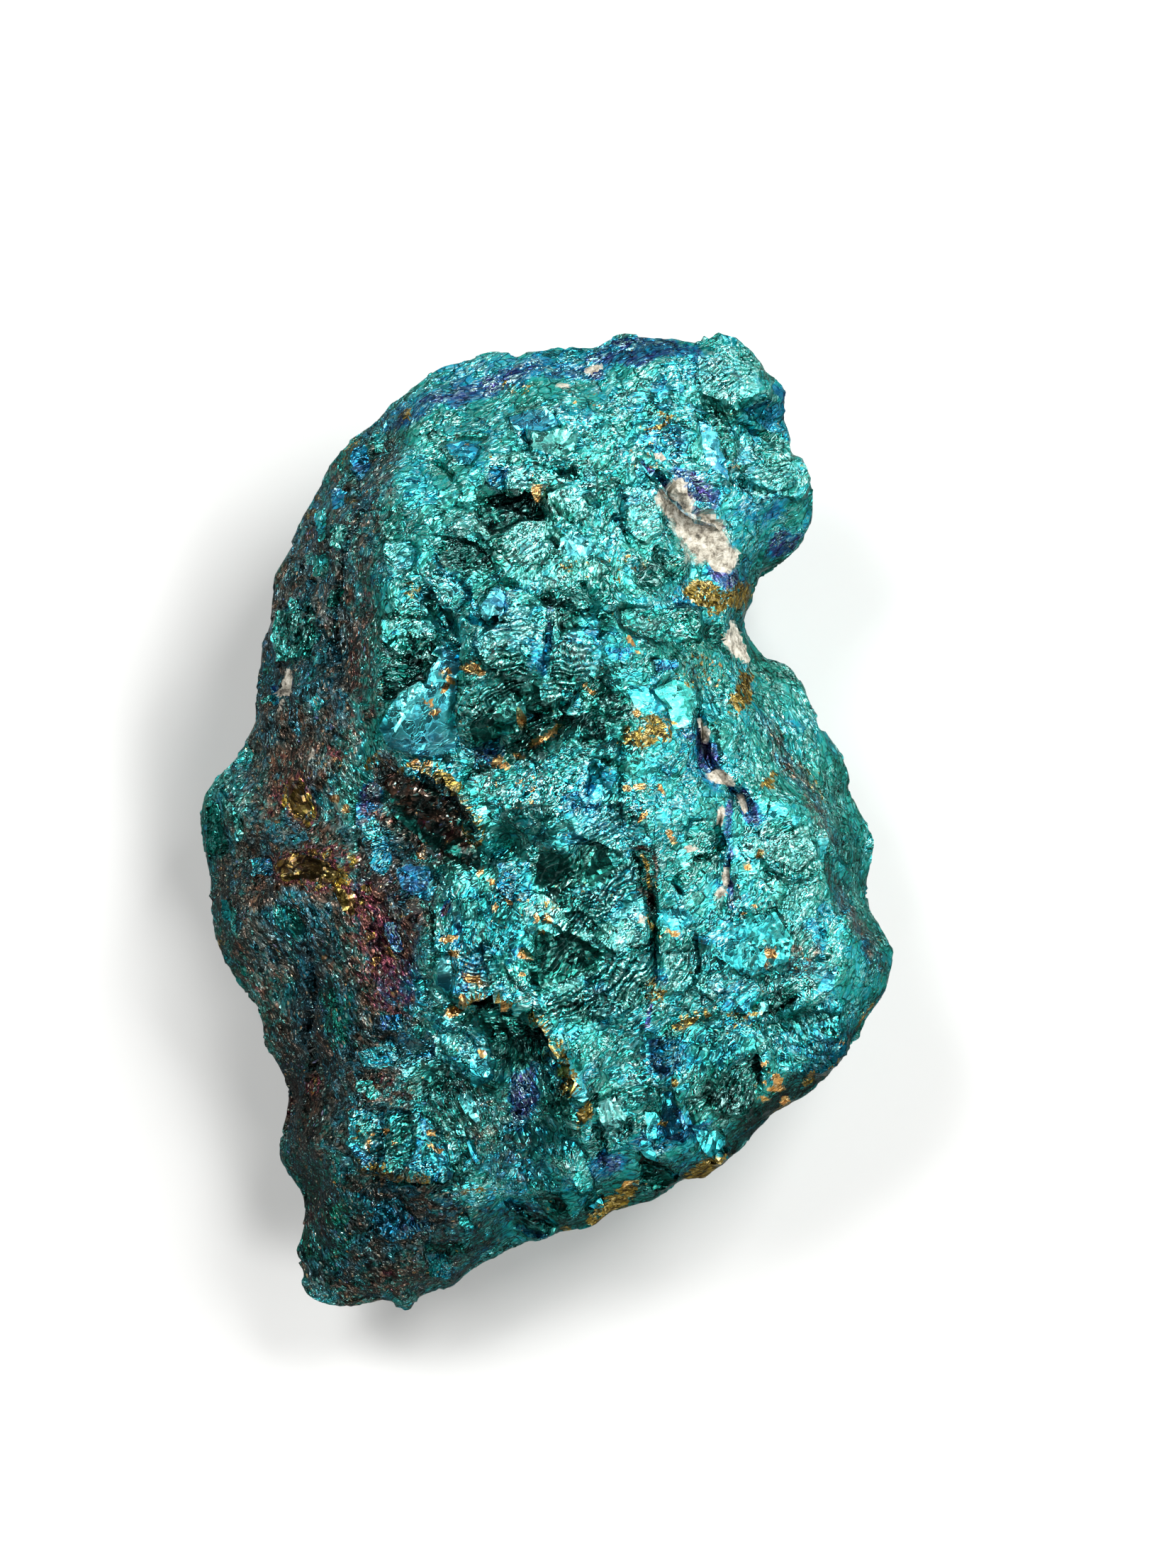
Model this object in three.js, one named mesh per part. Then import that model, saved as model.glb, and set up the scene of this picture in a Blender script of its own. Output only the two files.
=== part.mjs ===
import * as THREE from "three";

// Peacock ore: one broken lump of copper ore with an iridescent tarnish.
// Millimetres, +Z up, Y along the lump. It lies on its broad back, on a small flat spot under its
// middle, and the origin is under the middle of its box, on the surface that it rests on.
// The broken upper face is a net of measured points joined by flat facets, with ledges and cracks
// cut across it. The sides curve in under the rim to an underside of tilted facets.

// Driving dimensions, in mm.
const LENGTH = 56; // along Y
const WIDTH = 40; // along X
const BLOCK = 7; // the blocks that the sides and the underside broke into
const BLOCK_STEP = 2.2; // how far those blocks stand in or out
const CHIP = 3.1; // the chips all over the lump
const CHIP_STEP = 0.75;
const GRIT = 1.7; // the smallest lumps that the solid carries
const GRIT_STEP = 0.26;
const SIDE_TUCK = 0.8; // the share of the rim's reach where the side meets the underside
const SIDE_BULGE = 0.7; // under 1, the sides stay out near the rim's reach for longer
const SIDE_DROP = 1.3; // over 1, the sides leave the rim more gently
const REST_FADE = 1.2; // the height over which the underside turns from flat to rough
const BLOCKS_ON_TOP = 0.12; // how much of the blocks' step shows on the upper face

// How closely the facets' corners are set, in mm, and the rows of them down the sides.
const UPPER_SPACING = 0.86;
const FEATURE_SPACING = 0.72; // along the ledges and the cracks
const RIM_SPACING = 1;
const RIM_RAGGED = 0.16; // how far the rim's corners step in or out
const UNDER_SPACING = 1.3;
const SIDE_ROWS = 6;
const LEDGE_WALL = 0.34; // from a ledge's edge to its foot, seen from above
const LEDGE_EDGE = 0.03; // from a ledge's line to its edge, on the high side
const CLEAR = 0.62; // the share of the spacing that scattered corners keep clear of others

// The middle that the sides lean in towards, and the middle of the flat spot.
const MIDDLE = new THREE.Vector2(-1.6, 0.4);
const REST_SPOT = new THREE.Vector2(-0.2, 1.4);

// The rim, clockwise from the far end: x, y and the height of the upper face's edge there.
const RIM = [
  // far end and the prong at the right
  [4.5, 28.1, 12.0], [6.4, 27.9, 12.4], [8.0, 27.6, 12.7], [9.3, 27.3, 13.1], [10.2, 27.7, 13.2],
  [11.1, 27.8, 13.0], [12.3, 26.6, 12.4], [13.6, 25.5, 11.4], [14.25, 24.6, 10.4],
  [14.1, 23.2, 9.8], [14.5, 22.1, 9.4], [14.0, 21.3, 10.4], [15.0, 20.6, 10.9],
  [15.35, 19.5, 10.9], [15.1, 18.2, 10.3], [14.4, 17.0, 8.8], [13.4, 15.6, 7.3],
  // the notch below the prong
  [12.6, 14.6, 6.6], [12.5, 13.6, 7.6], [12.1, 12.4, 8.4], [11.7, 11.1, 7.8],
  // the lower shelf along the right side, with its pointed corner
  [12.4, 9.9, 7.6], [13.6, 8.8, 8.0], [14.8, 8.1, 8.3], [15.6, 6.9, 8.4], [15.9, 5.1, 8.3],
  [16.9, 3.5, 7.3], [17.4, 2.3, 6.5], [17.3, 1.6, 6.4], [18.5, 0.6, 6.4], [19.7, -0.5, 6.0],
  [19.7, -1.2, 5.6], [19.2, -2.2, 5.3], [18.4, -3.7, 5.2], [18.6, -4.8, 6.2],
  [19.6, -6.5, 7.6], [20.1, -8.4, 8.7],
  // the near right edge
  [19.8, -9.6, 9.1], [19.0, -10.9, 9.0], [18.1, -12.8, 8.7], [17.1, -14.3, 8.4],
  [15.9, -15.2, 8.0], [14.7, -15.7, 7.6], [13.9, -16.8, 7.4], [12.6, -17.9, 7.1],
  [10.5, -19.6, 6.9], [9.3, -20.6, 6.4], [8.0, -20.5, 6.0], [6.0, -21.3, 5.8],
  [4.6, -21.7, 6.0], [3.3, -22.2, 6.3], [2.7, -23.2, 6.2], [1.3, -23.8, 5.8],
  [-0.8, -23.9, 5.2], [-2.3, -24.1, 4.4],
  // the near end
  [-3.3, -25.0, 3.8], [-4.6, -25.9, 3.7], [-5.9, -27.0, 3.9], [-7.6, -27.4, 4.2],
  [-8.6, -27.9, 4.4], [-9.6, -27.7, 4.6], [-11.6, -28.0, 4.8], [-13.2, -27.6, 4.9],
  [-14.4, -26.7, 4.8], [-14.85, -25.2, 4.8], [-14.3, -23.2, 5.2], [-14.3, -21.9, 5.4],
  // the dark side, on the left
  [-14.9, -20.2, 5.7], [-15.1, -17.6, 5.8], [-15.7, -15.0, 5.8], [-16.3, -12.8, 5.9],
  [-16.4, -11.0, 6.2], [-17.2, -9.3, 6.3], [-18.6, -7.8, 6.0], [-19.5, -7.0, 5.8],
  [-19.8, -5.6, 5.9], [-19.7, -3.0, 6.3], [-20.1, -1.3, 6.7], [-19.9, 0.1, 7.0],
  [-18.9, 2.6, 7.4], [-18.1, 4.3, 7.6], [-17.4, 6.2, 7.8], [-17.2, 8.4, 7.8],
  [-17.0, 9.6, 7.8], [-16.2, 11.6, 7.8], [-15.2, 14.2, 7.9], [-14.2, 16.4, 8.0],
  [-13.6, 18.2, 8.1], [-12.6, 20.2, 8.3], [-11.2, 21.5, 8.7], [-9.0, 23.7, 9.2],
  [-7.2, 24.9, 9.7], [-5.2, 26.2, 10.1], [-4.0, 26.65, 10.5], [-2.8, 26.55, 10.8],
  [-1.8, 26.2, 11.0], [-0.5, 26.8, 11.3], [1.0, 27.3, 11.6], [2.7, 27.6, 11.9],
];

// Points of the upper face, x, y and height, feature by feature.
const FACE = {
  crestOverDarkSide: [
    [-7.6, 22.8, 13.8], [-9.2, 18.6, 15.4], [-9.9, 14.4, 16.8], [-9.5, 10.4, 18.0],
    [-9.4, 7.0, 18.2], [-8.6, 4.0, 18.0],
  ],
  darkSide: [
    [-11.6, 18.8, 12.2], [-12.6, 15.0, 12.4], [-13.4, 11.4, 12.6], [-12.0, 12.6, 14.6],
    [-14.0, 7.4, 12.8], [-12.0, 6.6, 15.4], [-14.6, 3.0, 13.0], [-12.4, 1.4, 14.6],
    [-15.8, -0.6, 12.2], [-13.2, -2.8, 13.8], [-17.6, -3.6, 9.6], [-15.4, -5.8, 11.4],
    [-11.0, -3.8, 14.9], [-12.4, -8.4, 12.8], [-10.2, -8.6, 14.2], [-14.0, -12.4, 10.2],
    [-11.8, -13.4, 11.9], [-13.0, -17.4, 9.9], [-12.6, -21.2, 8.9], [-17.9, 1.6, 9.8],
    [-16.4, 5.6, 9.9], [-17.8, -6.8, 8.2], [-9.6, -0.4, 15.2],
  ],
  farBand: [
    [-4.6, 25.0, 12.5], [-1.2, 25.0, 13.6], [2.2, 26.0, 13.2], [5.4, 26.2, 13.9],
    [8.4, 25.6, 14.9],
  ],
  upperField: [
    [-4.4, 22.2, 15.2], [-0.6, 22.6, 16.1], [3.4, 23.2, 15.7], [6.2, 22.8, 15.4],
    [-6.6, 19.6, 16.2], [-3.0, 20.6, 17.0], [1.4, 20.4, 17.5], [4.6, 20.2, 16.8],
    [3.2, 17.8, 17.7], [5.8, 18.0, 16.0], [-7.4, 16.2, 17.0], [-5.8, 17.6, 17.3],
  ],
  upperHollow: [[-2.8, 17.9, 16.9], [-1.0, 17.6, 17.1], [-4.6, 16.9, 17.9]],
  pocket: [[-5.0, 15.6, 17.6], [-3.8, 14.8, 17.4]],
  brightPanel: [
    [-1.8, 16.6, 18.6], [0.8, 17.0, 18.5], [3.0, 15.6, 18.2], [0.2, 14.2, 19.4],
    [3.4, 13.0, 18.9], [-2.4, 13.9, 19.3],
  ],
  leftSlabs: [
    [-7.9, 14.2, 17.8], [-6.0, 13.8, 18.6], [-4.6, 12.2, 18.9], [-8.4, 11.4, 17.7],
    [-6.6, 10.9, 17.7], [-3.2, 12.6, 19.7],
  ],
  cyanPlate: [
    [-7.4, 9.0, 17.3], [-8.6, 6.4, 18.3], [-6.2, 9.6, 17.9], [-5.0, 8.6, 18.3],
    [-5.0, 4.9, 19.0], [-8.0, 4.6, 18.5],
  ],
  ribbedLumps: [
    [-3.9, 10.2, 20.2], [-2.2, 9.2, 21.4], [-3.6, 6.6, 20.2], [-1.6, 7.4, 20.9],
    [-0.6, 11.6, 20.4], [0.9, 11.4, 20.4], [2.0, 9.8, 21.0], [3.3, 10.9, 19.6],
    [0.8, 8.4, 20.9], [2.9, 9.0, 20.2],
  ],
  underTheLumps: [
    [-3.4, 3.8, 18.6], [-0.8, 5.0, 18.9], [1.8, 6.4, 19.2], [4.2, 7.6, 18.8],
    [-3.2, 1.2, 18.7], [0.6, 2.6, 19.1], [3.8, 3.6, 18.8],
  ],
  rightShoulder: [
    [6.0, 15.8, 16.6], [5.4, 12.2, 17.6], [7.4, 12.9, 15.6], [6.8, 9.4, 17.2],
    [8.9, 10.6, 14.4], [6.2, 5.4, 18.0], [8.4, 6.6, 16.6],
  ],
  scoop: [[-8.0, 1.4, 15.2], [-6.0, 0.6, 15.2], [-6.8, -1.5, 14.9], [-4.6, -1.7, 15.9]],
  middlePanel: [
    [-5.8, -3.4, 16.6], [-2.8, -3.2, 18.3], [-0.3, -1.4, 18.8], [-5.6, -7.6, 17.2],
    [-3.4, -7.0, 18.0], [-1.0, -6.2, 18.0], [-2.6, -9.2, 17.7],
  ],
  foilPanel: [
    [1.8, -3.2, 17.7], [4.6, -1.2, 18.4], [2.9, -5.4, 18.1], [4.9, -4.6, 17.9],
    [1.2, -7.6, 16.7], [3.8, -8.8, 17.1], [5.2, -7.4, 17.2], [2.6, -11.4, 16.4],
    [0.2, -9.6, 17.3], [5.0, -11.0, 15.9],
  ],
  rightField: [
    [7.6, 1.6, 17.6], [7.4, -2.8, 17.1], [7.6, -6.6, 16.3], [7.4, -10.4, 15.4],
    [9.6, 0.6, 16.5], [9.4, -4.6, 16.2], [11.4, -2.2, 15.9], [12.0, -5.8, 15.2],
    [10.6, -8.4, 15.0], [13.6, -8.6, 14.1], [11.9, 2.6, 15.3], [13.6, -1.0, 15.1],
    [15.8, -5.6, 13.6], [16.4, -9.0, 12.8], [12.3, -10.9, 13.6],
  ],
  rightRidge: [
    [10.7, 8.6, 13.6], [11.7, 6.0, 14.0], [12.9, 3.6, 14.0], [14.5, 1.4, 13.9],
    [15.7, -0.8, 13.6], [16.7, -3.1, 13.1], [17.8, -5.4, 12.3], [18.9, -7.6, 11.3],
    [19.2, -9.0, 10.6],
  ],
  rightShelf: [
    [12.4, 8.4, 10.4], [14.2, 6.6, 10.2], [14.2, 4.4, 11.0], [15.6, 2.6, 9.8],
    [16.6, 0.4, 9.6], [18.0, -0.3, 8.8], [17.7, -2.0, 8.6], [18.4, -5.0, 9.2],
  ],
  prong: [
    [8.2, 23.8, 14.6], [10.6, 25.6, 15.5], [11.8, 26.0, 14.8], [11.2, 24.2, 15.2],
    [13.2, 24.9, 13.2], [9.9, 23.3, 14.2], [12.2, 22.9, 12.6], [13.4, 23.1, 11.2],
    [13.2, 21.5, 11.9], [8.7, 21.6, 15.0], [9.8, 20.0, 14.7], [10.8, 20.4, 13.4],
    [11.9, 21.0, 13.3], [12.3, 19.6, 14.1], [14.0, 19.8, 13.0], [13.8, 18.2, 12.4],
    [11.6, 18.0, 13.3], [12.4, 16.8, 11.4], [13.3, 17.0, 10.2], [11.2, 15.9, 12.2],
  ],
  quartzHollow: [[7.4, 18.0, 14.9], [8.6, 16.2, 14.0], [9.9, 15.2, 13.3], [8.9, 14.2, 14.0]],
  belowQuartz: [[8.9, 12.9, 14.2], [11.2, 13.6, 11.9], [10.7, 12.1, 12.2], [10.9, 10.2, 11.4]],
  tongue: [
    [-6.1, -10.6, 15.6], [-4.6, -11.2, 16.3], [-4.4, -12.6, 16.1], [-3.5, -13.6, 15.4],
    [-5.4, -12.2, 15.6],
  ],
  darkFacet: [[-1.9, -11.6, 14.3], [-1.2, -13.6, 13.5], [-0.4, -15.9, 12.9], [-3.4, -15.6, 13.4]],
  goldLip: [[1.4, -12.2, 16.6], [2.3, -14.0, 15.8], [3.1, -16.3, 14.7]],
  nearRightField: [
    [4.6, -13.6, 14.9], [7.2, -13.4, 14.3], [9.8, -12.6, 14.0], [10.6, -14.6, 13.3],
    [12.0, -12.8, 13.2], [14.6, -12.2, 12.2], [16.6, -12.0, 11.2], [14.4, -14.2, 11.0],
    [5.0, -16.0, 13.8], [8.4, -16.4, 12.8], [10.9, -16.6, 12.0], [12.4, -16.2, 10.6],
  ],
  nearEdge: [
    [3.9, -17.6, 13.0], [6.4, -18.2, 12.2], [2.2, -19.2, 11.4], [4.4, -19.8, 10.3],
    [6.2, -19.8, 9.2], [8.4, -18.6, 11.0], [9.6, -19.2, 9.4], [0.0, -18.4, 12.2],
    [-0.6, -21.4, 9.6], [1.6, -21.8, 9.4], [-2.2, -17.6, 12.4], [-2.6, -20.6, 10.4],
  ],
  maroonSlope: [[-8.2, -5.4, 15.8], [-7.6, -9.4, 15.0], [-8.4, -12.6, 13.7], [-7.0, -14.4, 12.9]],
  nearLeftSlab: [
    [-10.9, -16.6, 12.2], [-8.6, -16.0, 13.4], [-6.2, -16.8, 13.3], [-5.4, -19.4, 12.7],
    [-9.6, -19.4, 12.2],
  ],
  nearLobe: [
    [-10.4, -21.2, 10.3], [-7.6, -22.2, 10.0], [-4.9, -22.4, 9.9], [-3.6, -23.4, 7.6],
    [-6.8, -24.6, 8.2], [-5.2, -25.2, 6.8], [-10.4, -24.8, 8.4], [-12.9, -25.2, 7.4],
    [-9.0, -26.4, 6.6], [-12.0, -26.8, 6.6],
  ],
};

// Ledges, each a line with the high ground on its left as it runs: the height of the step, how far
// the high side stays raised, how far the low side stays sunk, and how far the edge leans over.
const LEDGES = [
  // under the ribbed lumps, and their left wall over the plate beside them
  { step: 2.1, high: 1.5, low: 1.8, lean: 0.45, line: [[-4.2, 4.3], [-3.0, 4.9], [-1.6, 6.0],
    [-0.3, 6.6], [1.0, 7.2], [2.3, 7.9], [3.7, 9.1]] },
  { step: 1.0, high: 1.0, low: 1.2, lean: 0.1, line: [[-4.5, 10.4], [-4.4, 8.2], [-4.5, 6.2],
    [-4.4, 4.3]] },
  // the gilded lip over the scoop
  { step: 2.3, high: 1.5, low: 2.4, lean: 0.3, line: [[-9.2, 3.3], [-7.4, 3.1], [-6.0, 2.7],
    [-4.9, 2.0], [-4.2, 0.6], [-3.7, -0.8], [-3.0, -2.2]] },
  // the overhang across the lower middle, and on down beside the long dark facet
  { step: 2.7, high: 1.4, low: 2.8, lean: 0.55, line: [[-6.3, -9.2], [-4.6, -10.0],
    [-2.9, -10.0], [-1.0, -10.3], [0.3, -11.7], [1.0, -13.2], [1.7, -14.9], [2.6, -17.2]] },
  // round the tongue below the overhang
  { step: 1.1, high: 1.0, low: 1.2, lean: 0.08, line: [[-6.3, -11.4], [-5.8, -13.0],
    [-4.5, -13.9], [-3.7, -14.6], [-3.0, -14.1], [-2.75, -12.6], [-2.9, -11.0]] },
  // the slab near the lower left, over the near lobe
  { step: 1.7, high: 1.4, low: 1.8, lean: 0.3, line: [[-10.6, -19.5], [-7.8, -19.9],
    [-5.1, -20.0], [-5.1, -18.4], [-5.9, -16.4]] },
  // the hollow and the pocket in the upper field
  { step: 1.5, high: 1.2, low: 1.6, lean: 0.12, line: [[-4.1, 18.2], [-2.2, 18.5],
    [-0.6, 18.6], [0.0, 17.9], [0.2, 16.9]] },
  { step: 1.3, high: 1.0, low: 1.5, lean: 0.12, line: [[-5.9, 16.3], [-4.0, 16.5],
    [-2.9, 15.6], [-2.6, 14.0]] },
  // the slab above the lumps
  { step: 1.0, high: 1.0, low: 0.9, lean: 0.1, line: [[-0.1, 13.0], [1.4, 12.3], [2.6, 12.1],
    [4.1, 11.9]] },
  // the strip that hangs over the pale hollow, and the edge of the field on its other side
  { step: 1.5, high: 1.2, low: 1.1, lean: 0.35, line: [[5.6, 20.4], [6.8, 19.3], [8.0, 18.1],
    [9.3, 17.4], [10.4, 16.7]] },
  { step: 0.8, high: 0.9, low: 0.9, lean: 0.05, line: [[8.3, 13.7], [8.2, 14.8], [7.4, 15.8],
    [6.9, 16.9], [6.3, 18.9]] },
  // the slot in the near right edge
  { step: 1.3, high: 0.9, low: 1.1, lean: 0.12, line: [[5.2, -18.4], [6.7, -18.9],
    [8.1, -19.7]] },
];

// Cracks: how deep, how wide at the mouth, and where they run.
const CRACKS = [
  { deep: 0.9, wide: 1.1, line: [[-7.3, 13.9], [-6.4, 12.6], [-5.6, 11.2], [-4.7, 9.9]] },
  { deep: 0.8, wide: 0.9, line: [[0.1, 12.4], [0.0, 10.0], [0.2, 7.2]] },
  { deep: 0.6, wide: 0.9, line: [[-4.6, 11.6], [-3.3, 11.1], [-2.0, 11.6]] },
  { deep: 0.8, wide: 1.1, line: [[5.2, -0.8], [5.9, -3.0], [6.1, -5.6], [6.1, -8.2],
    [5.6, -11.0]] },
  { deep: 0.7, wide: 1.1, line: [[8.5, 7.4], [8.9, 5.2], [9.2, 3.6], [10.3, 2.3], [11.2, 1.6],
    [12.1, 0.0]] },
  { deep: 0.6, wide: 1.0, line: [[10.1, 1.4], [9.7, -0.4], [10.3, -1.9], [10.4, -3.1],
    [9.6, -4.3]] },
  { deep: 0.5, wide: 0.9, line: [[8.4, -5.6], [8.7, -7.4], [8.1, -9.6]] },
  { deep: 0.6, wide: 1.0, line: [[-10.5, 20.2], [-10.9, 18.0], [-11.8, 14.6], [-12.0, 12.0],
    [-11.6, 8.0]] },
];

// The underside: facets that rise from the flat spot towards a compass direction (degrees from
// +X), where each starts, measured from the middle of the spot, and how steeply it rises.
const UNDERSIDE = [
  { toward: 4, starts: 5.6, rise: 0.36 }, { toward: 46, starts: 6.9, rise: 0.34 },
  { toward: 92, starts: 7.8, rise: 0.36 }, { toward: 128, starts: 5.9, rise: 0.5 },
  { toward: 171, starts: 5.2, rise: 0.42 }, { toward: 222, starts: 6.0, rise: 0.3 },
  { toward: 270, starts: 8.6, rise: 0.18 }, { toward: 311, starts: 6.2, rise: 0.34 },
];

// --- small repeatable noise ---

const CHANNEL = { rim: 3, upper: 5, under: 7, blocks: 11, chips: 31, grit: 53 };
const TILT = 2.2; // the steepest that a seed's plane tilts along each axis, twice over
const BOWL = 1.3; // how far a scoop rises, one cell away from its seed
const BOWL_LIFT = 0.15; // brings the scoops' middle height to about 0

// A repeatable number from 0 to 1 for a cell of a grid and a channel.
function chance(i, j, k, channel) {
  let h = Math.imul(i, 374761393) + Math.imul(j, 668265263);
  h = (h + Math.imul(k, 2147483642) + Math.imul(channel, 1274126177)) | 0;
  h = Math.imul(h ^ (h >>> 13), 1103515245);
  h = Math.imul(h ^ (h >>> 16), 2246822519);
  return ((h ^ (h >>> 15)) >>> 0) / 4294967296;
}

// The seeds scattered round a point, one to a cell. Each holds a tilted plane: its height over the
// point, from about -1 to 1, and the square of the seed's distance in cells.
function seedsRound(p, cell, channel) {
  const q = p.clone().divideScalar(cell);
  const seeds = [];
  for (let di = -1; di <= 1; di++) {
    for (let dj = -1; dj <= 1; dj++) {
      for (let dk = -1; dk <= 1; dk++) {
        const i = Math.floor(q.x) + di;
        const j = Math.floor(q.y) + dj;
        const k = Math.floor(q.z) + dk;
        const dx = q.x - i - chance(i, j, k, channel);
        const dy = q.y - j - chance(i, j, k, channel + 1);
        const dz = q.z - k - chance(i, j, k, channel + 2);
        const lift = chance(i, j, k, channel + 3) - 0.5;
        const tiltX = chance(i, j, k, channel + 4) - 0.5;
        const tiltY = chance(i, j, k, channel + 5) - 0.5;
        const tiltZ = chance(i, j, k, channel + 6) - 0.5;
        const plane = lift + TILT * (tiltX * dx + tiltY * dy + tiltZ * dz);
        seeds.push({ plane, away: dx * dx + dy * dy + dz * dz });
      }
    }
  }
  return seeds;
}

// Flat chips with small steps between them.
function chips(p, cell, channel) {
  const nearer = (a, b) => (b.away < a.away ? b : a);
  return seedsRound(p, cell, channel).reduce(nearer).plane;
}

// Shallow scoops that meet in sharp ridges, the way brittle ore breaks.
function scoops(p, cell, channel) {
  const bowls = seedsRound(p, cell, channel).map((seed) => seed.plane + BOWL * seed.away);
  return Math.min(...bowls) + BOWL_LIFT;
}

const ease = (t) => THREE.MathUtils.smoothstep(t, 0, 1);

// --- ledges and cracks, as lines over the upper face ---

// A ledge or a crack fades out over the last fifth of its length.
const END_FADE = 0.2;
const endFade = (share) => ease(Math.min(share, 1 - share) / END_FADE);

// Even places along a line, each with the unit vector to its left and its share of the length.
function placesAlong(line, spacing) {
  const places = [];
  const spans = line.slice(1).map(([x, y], i) => Math.hypot(x - line[i][0], y - line[i][1]));
  const length = spans.reduce((sum, span) => sum + span, 0);
  let run = 0;
  spans.forEach((span, i) => {
    const ux = (line[i + 1][0] - line[i][0]) / span;
    const uy = (line[i + 1][1] - line[i][1]) / span;
    const steps = Math.max(1, Math.round(span / spacing));
    for (let s = 0; s < steps; s++) {
      const t = ((s + 0.5) / steps) * span;
      const x = line[i][0] + ux * t;
      const y = line[i][1] + uy * t;
      places.push({ x, y, leftX: -uy, leftY: ux, share: (run + t) / length });
    }
    run += span;
  });
  return places;
}

// How far a point is from a line, on which side (left is positive), and how far along.
function nearestOn(line, x, y) {
  let best = { away: Infinity, side: 1, run: 0 };
  let run = 0;
  for (let i = 0; i + 1 < line.length; i++) {
    const [ax, ay] = line[i];
    const ux = line[i + 1][0] - ax;
    const uy = line[i + 1][1] - ay;
    const span = Math.hypot(ux, uy);
    const t = THREE.MathUtils.clamp(((x - ax) * ux + (y - ay) * uy) / (span * span), 0, 1);
    const away = Math.hypot(x - ax - t * ux, y - ay - t * uy);
    if (away < best.away) {
      const side = ux * (y - ay) - uy * (x - ax) < 0 ? -1 : 1;
      best = { away, side, run: run + t * span };
    }
    run += span;
  }
  return { away: best.away, side: best.side, share: best.run / run };
}

function ledgeHeight(x, y) {
  let z = 0;
  for (const { step, high, low, line } of LEDGES) {
    const near = nearestOn(line, x, y);
    const reach = near.side > 0 ? high : low;
    if (near.away >= reach) continue;
    z += near.side * (step / 2) * endFade(near.share) * (1 - near.away / reach) ** 1.5;
  }
  return z;
}

function crackDepth(x, y) {
  let z = 0;
  for (const { deep, wide, line } of CRACKS) {
    const near = nearestOn(line, x, y);
    const across = near.away / (wide / 2);
    if (across < 1) z -= deep * endFade(near.share) * (1 - across);
  }
  return z;
}

// --- flat triangles between points ---

// Whether the circle through three points, taken counterclockwise, holds a fourth.
function circleHolds(a, b, c, p) {
  const ax = a[0] - p[0];
  const ay = a[1] - p[1];
  const bx = b[0] - p[0];
  const by = b[1] - p[1];
  const cx = c[0] - p[0];
  const cy = c[1] - p[1];
  const det = (ax * ax + ay * ay) * (bx * cy - cx * by)
    - (bx * bx + by * by) * (ax * cy - cx * ay)
    + (cx * cx + cy * cy) * (ax * by - bx * ay);
  return det > 0;
}

// The Delaunay triangles between points, counterclockwise seen from above.
function delaunay(points) {
  const far = 400;
  const all = [...points, [-far, -far], [far, -far], [0, far]];
  const n = points.length;
  let triangles = [[n, n + 1, n + 2]];
  for (let i = 0; i < n; i++) {
    const hole = new Map();
    const kept = [];
    for (const triangle of triangles) {
      const [a, b, c] = triangle;
      if (!circleHolds(all[a], all[b], all[c], all[i])) {
        kept.push(triangle);
        continue;
      }
      for (const [from, to] of [[a, b], [b, c], [c, a]]) {
        if (hole.has(`${to},${from}`)) hole.delete(`${to},${from}`);
        else hole.set(`${from},${to}`, [from, to, i]);
      }
    }
    triangles = [...kept, ...hole.values()];
  }
  return triangles.filter((triangle) => triangle.every((v) => v < n));
}

// --- the upper face's heights ---

const NET = [...RIM, ...Object.values(FACE).flat()];
const NET_TRIANGLES = delaunay(NET);

// The height of the net of measured points over a place.
function netHeight(x, y) {
  let best = -Infinity;
  let height = 0;
  for (const [ia, ib, ic] of NET_TRIANGLES) {
    const a = NET[ia];
    const b = NET[ib];
    const c = NET[ic];
    const whole = (b[0] - a[0]) * (c[1] - a[1]) - (c[0] - a[0]) * (b[1] - a[1]);
    const shareB = ((x - a[0]) * (c[1] - a[1]) - (c[0] - a[0]) * (y - a[1])) / whole;
    const shareC = ((b[0] - a[0]) * (y - a[1]) - (x - a[0]) * (b[1] - a[1])) / whole;
    const inside = Math.min(shareB, shareC, 1 - shareB - shareC);
    if (inside > best) {
      best = inside;
      height = a[2] + shareB * (b[2] - a[2]) + shareC * (c[2] - a[2]);
    }
    if (best >= 0) break;
  }
  return height;
}

const upperHeight = (x, y) => netHeight(x, y) + ledgeHeight(x, y) + crackDepth(x, y);

// The height of the underside's facets over the resting surface: 0 on the flat spot.
function undersideHeight(x, y) {
  let z = 0;
  for (const { toward, starts, rise } of UNDERSIDE) {
    const a = THREE.MathUtils.degToRad(toward);
    const out = (x - REST_SPOT.x) * Math.cos(a) + (y - REST_SPOT.y) * Math.sin(a) - starts;
    z = Math.max(z, rise * out);
  }
  return z;
}

// --- where the corners of the solid's facets go, seen from above ---

// The rim as a closed loop of corners, with the broken edge stepping in and out between the
// measured points.
function rimLoop() {
  const loop = [];
  RIM.forEach(([ax, ay], i) => {
    const [bx, by] = RIM[(i + 1) % RIM.length];
    const span = Math.hypot(bx - ax, by - ay);
    const steps = Math.ceil(span / RIM_SPACING);
    for (let s = 0; s < steps; s++) {
      const ragged = s === 0 ? 0 : RIM_RAGGED * (2 * chance(i, s, 0, CHANNEL.rim) - 1);
      const x = ax + ((bx - ax) * s) / steps - ((by - ay) / span) * ragged;
      const y = ay + ((by - ay) * s) / steps + ((bx - ax) / span) * ragged;
      loop.push([x, y]);
    }
  });
  return loop;
}

function insideLoop(loop, x, y) {
  let inside = false;
  loop.forEach(([ax, ay], i) => {
    const [bx, by] = loop[(i + 1) % loop.length];
    if (ay > y !== by > y && x < ax + ((y - ay) * (bx - ax)) / (by - ay)) inside = !inside;
  });
  return inside;
}

const farFrom = (points, x, y, gap) => points.every(
  ([px, py]) => Math.abs(px - x) > gap || Math.abs(py - y) > gap || Math.hypot(px - x, py - y) > gap,
);

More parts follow.
